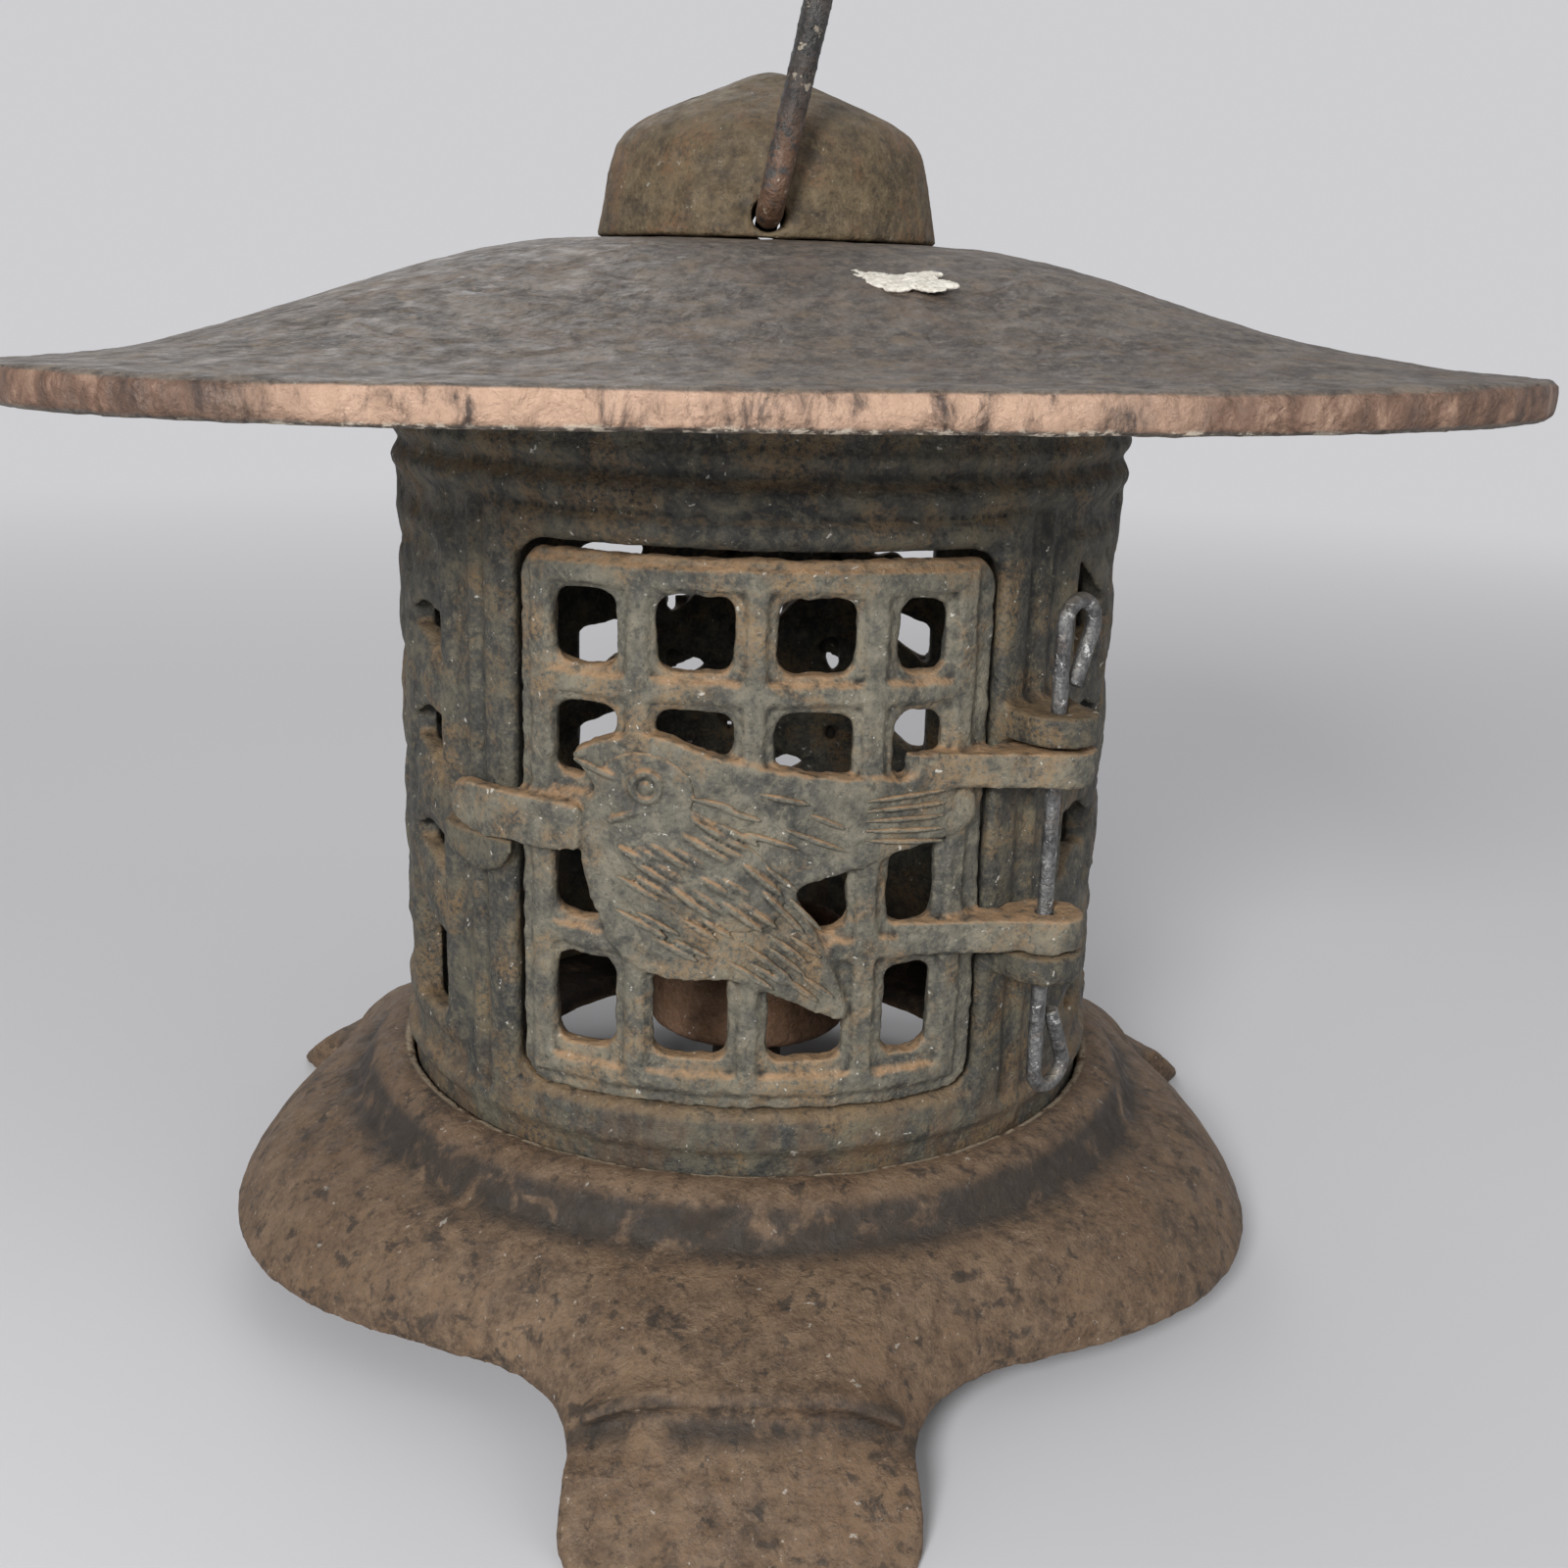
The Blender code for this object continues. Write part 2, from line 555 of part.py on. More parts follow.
def base_outline():
    """Plan of the base: three tongues with rounded lobes between them."""
    points = []
    count = len(FOOT_AZIMUTHS)
    for index, azimuth in enumerate(FOOT_AZIMUTHS):
        turn = math.radians(azimuth)
        foot = []
        for corner in (-1.0, 1.0):
            for i in range(7):
                angle = math.radians(90.0 * i / 6)
                if corner < 0.0:
                    angle = math.radians(90.0 - 90.0 * i / 6)
                across = corner * (FOOT_HALF_WIDTH - FOOT_CORNER + FOOT_CORNER * math.sin(angle))
                foot.append((across, FOOT_R + 2.0 - FOOT_CORNER + FOOT_CORNER * math.cos(angle)))
        for across, out in foot:
            points.append((out * math.sin(turn) + across * math.cos(turn),
                           -out * math.cos(turn) + across * math.sin(turn)))
        nearer = FOOT_AZIMUTHS[(index + 1) % count]
        span = (nearer - azimuth) % 360.0
        side = (FOOT_HALF_WIDTH - 0.8, LIP_R + 1.0)
        points.extend(fillet_points(azimuth, 1.0, side))
        reach = 0.5 * span - FILLET_AZIMUTH
        for i in range(1, 16):
            along = -reach + 2.0 * reach * i / 16
            rise = math.cos(0.5 * math.pi * abs(along) / reach) ** 1.3
            points.append(polar(NOTCH_R + (LOBE_R - NOTCH_R) * rise, azimuth + 0.5 * span + along))
        points.extend(reversed(fillet_points(nearer, -1.0, side)))
    return points


def fillet_points(azimuth, hand, side):
    """Hollow curve from the side of a tongue to the start of a lobe."""
    turn = math.radians(azimuth)
    start = (side[0] * hand, side[1])
    end_x, end_y = polar(NOTCH_R, FILLET_AZIMUTH * hand)
    end = (end_x, -end_y)
    bend = (FOOT_HALF_WIDTH * hand * 1.02, NOTCH_R - 6.0)
    points = []
    for i in range(7):
        t = i / 6
        across = (1.0 - t) ** 2 * start[0] + 2.0 * t * (1.0 - t) * bend[0] + t * t * end[0]
        out = (1.0 - t) ** 2 * start[1] + 2.0 * t * (1.0 - t) * bend[1] + t * t * end[1]
        points.append((out * math.sin(turn) + across * math.cos(turn),
                       -out * math.cos(turn) + across * math.sin(turn)))
    return points


def floor_window(side):
    """Plan of one opening in the floor, beside the bar that carries the candle cup."""
    start = math.acos(FLOOR_BAR_HALF / FLOOR_OPEN_R)
    points = []
    for i in range(21):
        turn = -start + 2.0 * start * i / 20
        points.append((side * FLOOR_OPEN_R * math.cos(turn), side * FLOOR_OPEN_R * math.sin(turn)))
    return points


def build_base():
    """Turned skirt with collar and floor, cut to three feet and three lobes."""
    seat_r = BODY_R + COLLAR_CLEARANCE
    profile = [
        (0.0, FLOOR_TOP_Z), (seat_r, FLOOR_TOP_Z), (seat_r, COLLAR_TOP_Z),
        (seat_r + 0.36 * COLLAR_WIDTH, COLLAR_TOP_Z - 0.3),
        (seat_r + 0.66 * COLLAR_WIDTH, COLLAR_TOP_Z - 2.2),
        (seat_r + 0.84 * COLLAR_WIDTH, COLLAR_TOP_Z - 5.4), (COLLAR_R, COLLAR_FOOT_Z)]
    for share in (0.14, 0.36, 0.60, 0.82):
        slope_z = COLLAR_FOOT_Z + share * (LIP_Z - COLLAR_FOOT_Z)
        profile.append((COLLAR_R + share * LIP_WIDTH, slope_z + 0.9 * math.sin(math.pi * share)))
    profile.extend([(LIP_R - SEAT_GAP, LIP_Z), (LIP_R, LIP_Z - 2.4), (LIP_R + 1.2, TONGUE_Z)])
    for share in (0.21, 0.46, 0.70, 0.88):
        swell = 2.2 * share * (1.0 - share)
        profile.append((LIP_R + 1.2 + share * (TONGUE_LENGTH - 1.2), TONGUE_Z * (1.0 - share) + swell))
    profile.extend([(FOOT_R, 0.0), (FOOT_PAD_R, 0.0)])
    under_z = COLLAR_FOOT_Z - FLANGE_THICK
    for share, lift in ((0.13, 0.07), (0.29, 0.11), (0.41, 0.16), (0.63, 0.16), (0.84, 0.08)):
        profile.append((FOOT_PAD_R + share * (COLLAR_R - FOOT_PAD_R), under_z * (share + lift)))
    profile.extend([(COLLAR_R, under_z), (seat_r + 0.4 * COLLAR_WIDTH, FLOOR_LOW_Z), (0.0, FLOOR_LOW_Z)])
    base = turned("base", profile, BASE_STEPS, True, closed=False)
    boolean(base, "INTERSECT", prism("base_plan", base_outline(), -CUT_SPARE, COLLAR_TOP_Z + CUT_SPARE, "Z"))
    floor_cut = (FLOOR_LOW_Z - CUT_SPARE, CUP_LOW_Z + CUT_SPARE)
    for index, azimuth in enumerate(BASE_BOLT_AZIMUTHS):
        boolean(base, "DIFFERENCE", rod("base_hole_%d" % index, BOLT_R + BOLT_CLEARANCE, floor_cut[0],
                                        floor_cut[1], polar(EAR_R, azimuth), 16))
    for index, side in enumerate((-1.0, 1.0)):
        boolean(base, "DIFFERENCE", prism("floor_window_%d" % index, floor_window(side), *floor_cut, "Z"))
    post = rod("cup_post", CUP_POST_R, FLOOR_LOW_Z + 1.5, CUP_LOW_Z - SEAT_GAP, (0.0, 0.0), 24)
    boolean(base, "UNION", post)
    boolean(base, "DIFFERENCE", rod("base_centre_hole", BOLT_R + BOLT_CLEARANCE, *floor_cut, (0.0, 0.0), 16))
    return base


def rim_radius(azimuth_deg):
    """Plan radius of the roof: a soft square turned on the body."""
    turn = math.radians(azimuth_deg - ROOF_TURN)
    power = ROOF_SQUARENESS
    total = abs(math.sin(turn)) ** power + abs(math.cos(turn)) ** power
    return ROOF_HALF_SIDE / total ** (1.0 / power)


def rim_height(azimuth_deg):
    """Height of the rim's upper edge, which turns up towards the corners."""
    corner = ROOF_HALF_SIDE * 2.0 ** (0.5 - 1.0 / ROOF_SQUARENESS)
    share = (rim_radius(azimuth_deg) - ROOF_HALF_SIDE) / (corner - ROOF_HALF_SIDE)
    return ROOF_RIM_Z + ROOF_CORNER_LIFT * share * share


def roof_height(radius, rim, edge_z):
    """Height of the roof top between the crown and the rim."""
    share = (radius - ROOF_CROWN_R) / (rim - ROOF_CROWN_R)
    share = min(max(share, 0.0), 1.0)
    wave = 0.5 * (1.0 + math.cos(math.pi * share))
    return edge_z + (ROOF_TOP_Z - edge_z) * wave ** ROOF_FLARE_POWER


def build_roof():
    """Flared roof lofted from a round crown to a soft square rim, with a seat ring below."""
    rings = []
    for step in range(ROOF_STEPS):
        azimuth = 360.0 * step / ROOF_STEPS
        rim = rim_radius(azimuth)
        edge_z = rim_height(azimuth)
        column = [(ROOF_VENT_R, ROOF_PLATE_Z), (ROOF_VENT_R, ROOF_TOP_Z)]
        for i in range(ROOF_TOP_RINGS + 1):
            radius = ROOF_CROWN_R + (rim - 0.6 - ROOF_CROWN_R) * i / ROOF_TOP_RINGS
            column.append((radius, roof_height(radius, rim, edge_z)))
        column.append((rim, edge_z - 0.8))
        column.append((rim, edge_z - ROOF_RIM_THICK + 1.0))
        for i in range(ROOF_LOW_RINGS + 1):
            radius = rim - 1.2 + (ROOF_RING_OUT_R - rim + 1.2) * i / ROOF_LOW_RINGS
            column.append((radius, roof_height(radius, rim, edge_z) - ROOF_RIM_THICK))
        column.append((ROOF_RING_OUT_R, ROOF_SEAT_Z))
        column.append((ROOF_RING_IN_R, ROOF_SEAT_Z))
        column.append((ROOF_RING_IN_R, ROOF_PLATE_Z - 4.0))
        column.append((ROOF_CROWN_R, ROOF_PLATE_Z))
        rings.append([(*polar(radius, azimuth), height) for radius, height in column])
    mesh = bpy.data.meshes.new("roof")
    count = len(rings[0])
    verts = [(x * MM, y * MM, z * MM) for ring in rings for x, y, z in ring]
    faces = []
    for step in range(ROOF_STEPS):
        here = step * count
        there = ((step + 1) % ROOF_STEPS) * count
        for i in range(count):
            k = (i + 1) % count
            faces.append((here + i, here + k, there + k, there + i))
    mesh.from_pydata(verts, [], faces)
    work = bmesh.new()
    work.from_mesh(mesh)
    bmesh.ops.recalc_face_normals(work, faces=work.faces)
    work.to_mesh(mesh)
    work.free()
    roof = add_object("roof", mesh, True)
    for index, azimuth in enumerate(ROOF_BOLT_AZIMUTHS):
        hole = rod("roof_hole_%d" % index, BOLT_R + BOLT_CLEARANCE, ROOF_SEAT_Z - CUT_SPARE,
                   ROOF_SEAT_Z + ROOF_BOLT_DEPTH, polar(EAR_R, azimuth), 16)
        boolean(roof, "DIFFERENCE", hole)
    for index, azimuth in enumerate(CAP_LUG_AZIMUTHS):
        hole = rod("plate_hole_%d" % index, BOLT_R + BOLT_CLEARANCE, ROOF_PLATE_Z - CUT_SPARE,
                   ROOF_TOP_Z + CUT_SPARE, polar(CAP_LUG_R, azimuth), 16)
        boolean(roof, "DIFFERENCE", hole)
    return roof


def build_cap():
    """Bell-shaped cap with two drilled lugs inside and two holes for the bail."""
    rise = CAP_HIGH
    outer = [(CAP_BASE_R, CAP_LOW_Z), (CAP_BASE_R - 2.2, CAP_LOW_Z + 0.40 * rise),
             (CAP_BASE_R - 3.5, CAP_LOW_Z + 0.54 * rise), (CAP_BASE_R - 5.6, CAP_LOW_Z + 0.63 * rise),
             (CAP_BASE_R - 8.8, CAP_LOW_Z + 0.70 * rise), (CAP_BASE_R - 14.8, CAP_LOW_Z + 0.79 * rise),
             (CAP_BASE_R - 24.2, CAP_LOW_Z + 0.91 * rise), (3.6, CAP_LOW_Z + 0.975 * rise), (0.0, CAP_TOP_Z)]
    inner = [(0.0, CAP_TOP_Z - CAP_WALL - 2.4)]
    for radius, height in list(reversed(outer))[2:-1]:
        inner.append((max(radius - CAP_WALL * 0.8, 1.0), height - CAP_WALL))
    inner.append((CAP_BASE_R - CAP_WALL, CAP_LOW_Z))
    cap = turned("cap", list(reversed(outer)) + list(reversed(inner)), CAP_STEPS, True, closed=False)
    for index, azimuth in enumerate(CAP_LUG_AZIMUTHS):
        outline = ear_outline(azimuth, CAP_LUG_R, CAP_LUG_PAD, CAP_BASE_R - CAP_WALL + 0.8)
        low = CAP_LOW_Z + EAR_STEP
        boolean(cap, "UNION", prism("cap_lug_%d" % index, outline, low, low + CAP_LUG_HIGH, "Z"))
        boolean(cap, "DIFFERENCE", rod("cap_hole_%d" % index, BOLT_R + BOLT_CLEARANCE, low - CUT_SPARE,
                                       low + CAP_LUG_HIGH - 1.5, polar(CAP_LUG_R, azimuth), 16))
    drill = rod("bail_hole", BAIL_HOLE, -CAP_BASE_R - 12.0, CAP_BASE_R + 12.0, (0.0, 0.0), 16)
    drill.data.transform(Matrix.Translation((0.0, 0.0, BAIL_PIVOT_Z * MM))
                         @ Matrix.Rotation(math.radians(90.0), 4, "X"))
    boolean(cap, "DIFFERENCE", drill)
    return cap


def build_bail():
    """Round-wire carrying handle with its two ends turned in through the cap."""
    points = [(0.0, -BAIL_END_Y, 0.0)]
    for i in range(6):
        angle = math.radians(90.0 * i / 5)
        points.append((0.0, -BAIL_LEG_Y + BAIL_BEND - BAIL_BEND * math.sin(angle),
                       BAIL_BEND - BAIL_BEND * math.cos(angle)))
    for i in range(17):
        angle = math.radians(180.0 * i / 16)
        points.append((0.0, -BAIL_LEG_Y * math.cos(angle), BAIL_LEG + BAIL_LEG_Y * math.sin(angle)))
    for i in range(6):
        angle = math.radians(90.0 - 90.0 * i / 5)
        points.append((0.0, BAIL_LEG_Y - BAIL_BEND + BAIL_BEND * math.sin(angle),
                       BAIL_BEND - BAIL_BEND * math.cos(angle)))
    points.append((0.0, BAIL_END_Y, 0.0))
    bail = wire("bail", points, BAIL_ROD, True)
    bail.location = (0.0, 0.0, BAIL_PIVOT_Z * MM)
    bail.rotation_euler = (0.0, math.radians(BAIL_LEAN), 0.0)
    return bail


def build_cup():
    """Small turned cup that holds the candle on the floor of the base."""
    top = CUP_LOW_Z + CUP_HIGH
    profile = [(0.0, CUP_LOW_Z + CUP_FLOOR), (CUP_R - CUP_WALL - 1.0, CUP_LOW_Z + CUP_FLOOR),
               (CUP_R - CUP_WALL, CUP_LOW_Z + CUP_FLOOR + 1.0), (CUP_R - CUP_WALL, top), (CUP_R, top),
               (CUP_R, CUP_LOW_Z + 1.0), (CUP_R - 1.0, CUP_LOW_Z), (0.0, CUP_LOW_Z)]
    cup = turned("candle_cup", profile, 32, True, closed=False)
    boolean(cup, "DIFFERENCE", rod("cup_hole", BOLT_R + BOLT_CLEARANCE, CUP_LOW_Z - 3.0,
                                   CUP_LOW_Z + CUP_FLOOR - 1.2, (0.0, 0.0), 16))
    return cup


def hex_bolt(name, place, head_top, end_z):
    """Hexagon-headed bolt pointing up with its head below."""
    head = rod(name + "_head", HEX_R, head_top - HEX_HIGH, head_top, place, 6)
    boolean(head, "UNION", rod(name + "_shank", BOLT_R, head_top - 1.0, end_z, place, 16))
    return baked(head, name, True)


def hex_nut(name, place, low):
    """Hexagon nut on a bolt end."""
    nut = rod(name + "_block", HEX_R, low, low + HEX_HIGH, place, 6)
    boolean(nut, "DIFFERENCE", rod(name + "_bore", BOLT_R + 0.3, low - 2.0, low + HEX_HIGH + 2.0, place, 16))
    return baked(nut, name, True)


def build_fasteners():
    """Bolts that hold base to body, roof to body, cap to roof and cup to base."""
    made = []
    for index, azimuth in enumerate(BASE_BOLT_AZIMUTHS):
        place = polar(EAR_R, azimuth)
        top = BODY_BOTTOM_Z + EAR_STEP + EAR_THICK + SEAT_GAP
        end = top + HEX_HIGH + 1.5
        made.append(hex_bolt("base_bolt_%d" % (index + 1), place, FLOOR_LOW_Z - SEAT_GAP, end))
        made.append(hex_nut("base_nut_%d" % (index + 1), place, top))
    for index, azimuth in enumerate(ROOF_BOLT_AZIMUTHS):
        place = polar(EAR_R, azimuth)
        head_top = BODY_TOP_Z - EAR_THICK - EAR_STEP - SEAT_GAP
        made.append(hex_bolt("roof_bolt_%d" % (index + 1), place, head_top,
                             ROOF_SEAT_Z + ROOF_BOLT_DEPTH - 1.0))
    for index, azimuth in enumerate(CAP_LUG_AZIMUTHS):
        made.append(hex_bolt("cap_screw_%d" % (index + 1), polar(CAP_LUG_R, azimuth), ROOF_PLATE_Z - SEAT_GAP,
                             CAP_LOW_Z + CAP_LUG_HIGH - 2.2))
    made.append(hex_bolt("candle_screw", (0.0, 0.0), FLOOR_LOW_Z - SEAT_GAP, CUP_LOW_Z + CUP_FLOOR - 1.8))
    return made


def paint(item, name, colour, roughness, metallic):
    """Give a piece its own plain material."""
    material = bpy.data.materials.get(name)
    if material is None:
        material = bpy.data.materials.new(name)
        material.use_nodes = True
        shader = material.node_tree.nodes["Principled BSDF"]
        shader.inputs["Base Color"].default_value = (*colour, 1.0)
        shader.inputs["Roughness"].default_value = roughness
        shader.inputs["Metallic"].default_value = metallic
    item.data.materials.append(material)


def soften(item, angle):
    """Shade a piece smooth except at its real edges."""
    for face in item.data.polygons:
        face.use_smooth = True
    screws = [step for step in item.modifiers if step.type == "SCREW"]
    for step in screws:
        step.use_smooth_shade = True
    item.data.set_sharp_from_angle(angle=math.radians(angle))


def centre_origin():
    """Move every piece and cutter so that the origin is under the middle of the whole box."""
    bpy.context.view_layer.update()
    graph = bpy.context.evaluated_depsgraph_get()
    corners = []
    for item in PARTS.objects:
        shape = item.evaluated_get(graph)
        corners.extend(shape.matrix_world @ Vector(corner) for corner in shape.bound_box)
    shift = Vector((0.0, 0.0, 0.0))
    for axis in (0, 1):
        values = [corner[axis] for corner in corners]
        shift[axis] = -0.5 * (min(values) + max(values))
    for group in (PARTS, CUTTERS):
        for item in group.objects:
            item.location = item.location + shift


def main():
    """Build every piece, give it its finish and set the origin."""
    clear_scene()
    pieces = {
        "base": (build_base(), (0.15, 0.095, 0.055), 0.85, 0.3),
        "body": (build_body(), (0.085, 0.085, 0.075), 0.75, 0.4),
        "door": (build_door(), (0.13, 0.12, 0.09), 0.75, 0.4),
        "hinge_pin": (build_pin(), (0.24, 0.24, 0.23), 0.5, 0.8),
        "roof": (build_roof(), (0.10, 0.08, 0.065), 0.8, 0.3),
        "cap": (build_cap(), (0.12, 0.09, 0.045), 0.75, 0.3),
        "bail": (build_bail(), (0.05, 0.048, 0.046), 0.55, 0.5),
        "candle_cup": (build_cup(), (0.14, 0.085, 0.05), 0.7, 0.5),
    }
    for name, (item, colour, roughness, metallic) in pieces.items():
        paint(item, name, colour, roughness, metallic)
        soften(item, 35.0)
    for item in build_fasteners():
        paint(item, "fastener", (0.12, 0.085, 0.06), 0.7, 0.7)
        soften(item, 30.0)
    centre_origin()


main()
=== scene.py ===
"""Weathered cast-iron pagoda lantern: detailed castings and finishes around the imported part."""

import logging
import math
from dataclasses import dataclass, field
from enum import Enum
from typing import Optional, Sequence

import bpy
from mathutils import Euler, Matrix, Vector
from mathutils.bvhtree import BVHTree


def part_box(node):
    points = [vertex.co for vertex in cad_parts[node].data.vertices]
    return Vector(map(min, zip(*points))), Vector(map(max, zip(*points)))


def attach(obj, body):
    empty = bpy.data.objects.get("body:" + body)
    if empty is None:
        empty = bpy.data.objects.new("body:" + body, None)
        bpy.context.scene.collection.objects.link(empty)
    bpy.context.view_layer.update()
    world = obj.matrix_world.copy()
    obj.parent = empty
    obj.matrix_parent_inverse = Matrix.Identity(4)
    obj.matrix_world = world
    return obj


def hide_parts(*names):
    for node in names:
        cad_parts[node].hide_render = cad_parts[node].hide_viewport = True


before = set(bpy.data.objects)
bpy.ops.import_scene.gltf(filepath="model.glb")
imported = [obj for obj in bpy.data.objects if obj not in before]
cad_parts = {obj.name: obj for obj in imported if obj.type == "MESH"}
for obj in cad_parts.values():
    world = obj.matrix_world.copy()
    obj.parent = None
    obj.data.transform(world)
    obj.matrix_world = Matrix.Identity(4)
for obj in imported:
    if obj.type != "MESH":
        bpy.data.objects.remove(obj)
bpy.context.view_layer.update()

LOG = logging.getLogger("pagoda_lantern")
MM = 0.001
Colour = tuple[float, float, float]
Place = tuple[float, float, float]
Pair = tuple[float, float]
Stroke = tuple[float, float, float, float]
Ridge = tuple[Pair, float, float, float, float, float]
Piece = bpy.types.Object
Socket = bpy.types.NodeSocket
MERGE_GAP = 0.000002


class Relief(Enum):
    """Kinds of raised work laid on a wall."""

    STRIP = "strip"
    BEAD = "bead"
    RING = "ring"


class Axis(Enum):
    """Directions of a surface or a place that a finish can follow."""

    X = 0
    Y = 1
    Z = 2


# Hand tools


def clear_selection() -> None:
    """Leave edit mode and select nothing."""
    if bpy.context.mode != "OBJECT":
        bpy.ops.object.mode_set(mode="OBJECT")
    bpy.ops.object.select_all(action="DESELECT")


def make_active(piece: Piece) -> None:
    """Select one piece alone and make it active.

    Args:
        piece: The piece that the next operators act on.
    """
    clear_selection()
    piece.select_set(True)
    bpy.context.view_layer.objects.active = piece


def newest(name: str) -> Piece:
    """Name the piece that an operator has just added.

    Args:
        name: Its plain name.

    Returns:
        The active object.
    """
    piece = bpy.context.view_layer.objects.active
    piece.name = name
    piece.data.name = name
    return piece


def settle(piece: Piece) -> None:
    """Put a piece's place, turn and size into its mesh.

    Args:
        piece: The piece to settle.
    """
    make_active(piece)
    bpy.ops.object.transform_apply(location=True, rotation=True, scale=True)


def apply_all(piece: Piece) -> None:
    """Apply a piece's modifiers in order.

    Args:
        piece: The piece that holds them.
    """
    make_active(piece)
    for step in list(piece.modifiers):
        bpy.ops.object.modifier_apply(modifier=step.name)


def close_up(piece: Piece) -> None:
    """Merge a mesh's doubles and turn its faces outward.

    Args:
        piece: The piece to mend.
    """
    make_active(piece)
    bpy.ops.object.mode_set(mode="EDIT")
    bpy.ops.mesh.select_all(action="SELECT")
    bpy.ops.mesh.remove_doubles(threshold=MERGE_GAP)
    bpy.ops.mesh.normals_make_consistent(inside=False)
    bpy.ops.object.mode_set(mode="OBJECT")


def join_all(pieces: Sequence[Piece]) -> Piece:
    """Join pieces into the first one.

    Args:
        pieces: At least one piece.

    Returns:
        The first piece, which holds them all.
    """
    clear_selection()
    for piece in pieces:
        piece.select_set(True)
    bpy.context.view_layer.objects.active = pieces[0]
    if len(pieces) > 1:
        bpy.ops.object.join()
    return pieces[0]


def blank_of(node: str, name: str) -> Piece:
    """Take a merged copy of a CAD solid as the blank of a casting.

    Args:
        node: The CAD node.
        name: The new piece's name.

    Returns:
        The copy, without materials.
    """
    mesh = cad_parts[node].data.copy()
    mesh.name = name
    mesh.materials.clear()
    piece = bpy.data.objects.new(name, mesh)
    bpy.context.scene.collection.objects.link(piece)
    close_up(piece)
    return piece


def lantern_axis() -> Vector:
    """Plan point of the axis that body, base and cap share."""
    low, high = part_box("cap")
    return Vector((0.5 * (low.x + high.x), 0.5 * (low.y + high.y), 0.0))


@dataclass(frozen=True)
class Grain:
    """How a casting comes out of the sand: cell size, rounding and roughness in mm."""

    cell: float
    rounding: int
    lump_size: float
    lump_depth: float
    grit_size: float
    grit_depth: float
    keep: float = 1.0

    def fuse(self, piece: Piece) -> Piece:
        """Fuse a blank and its raised work into one closed skin.

        Args:
            piece: The joined blank.

        Returns:
            The same piece, fused.
        """
        cells = piece.modifiers.new("fuse", "REMESH")
        cells.mode = "VOXEL"
        cells.voxel_size = self.cell * MM
        apply_all(piece)
        return piece

    def surface(self, piece: Piece) -> Piece:
        """Round a fused skin and make it uneven.

        Args:
            piece: The fused piece.

        Returns:
            The same piece, finished.
        """
        if self.rounding:
            ease = piece.modifiers.new("round", "SMOOTH")
            ease.factor = 0.5
            ease.iterations = self.rounding
        for name, size, depth in (("lumps", self.lump_size, self.lump_depth),
                                  ("grit", self.grit_size, self.grit_depth)):
            if depth <= 0.0:
                continue
            clouds = bpy.data.textures.new(piece.name + "_" + name, "CLOUDS")
            clouds.noise_scale = size * MM
            clouds.noise_depth = 3
            push = piece.modifiers.new(name, "DISPLACE")
            push.texture = clouds
            push.texture_coords = "LOCAL"
            push.strength = depth * MM
            push.mid_level = 0.5
        if self.keep < 1.0:
            thin = piece.modifiers.new("thin", "DECIMATE")
            thin.ratio = self.keep
        apply_all(piece)
        make_active(piece)
        bpy.ops.object.shade_smooth()
        return piece

    def cast(self, piece: Piece) -> Piece:
        """Turn a blank and its raised work into one rounded, uneven casting.

        Args:
            piece: The joined blank.

        Returns:
            The same piece, finished.
        """
        return self.surface(self.fuse(piece))


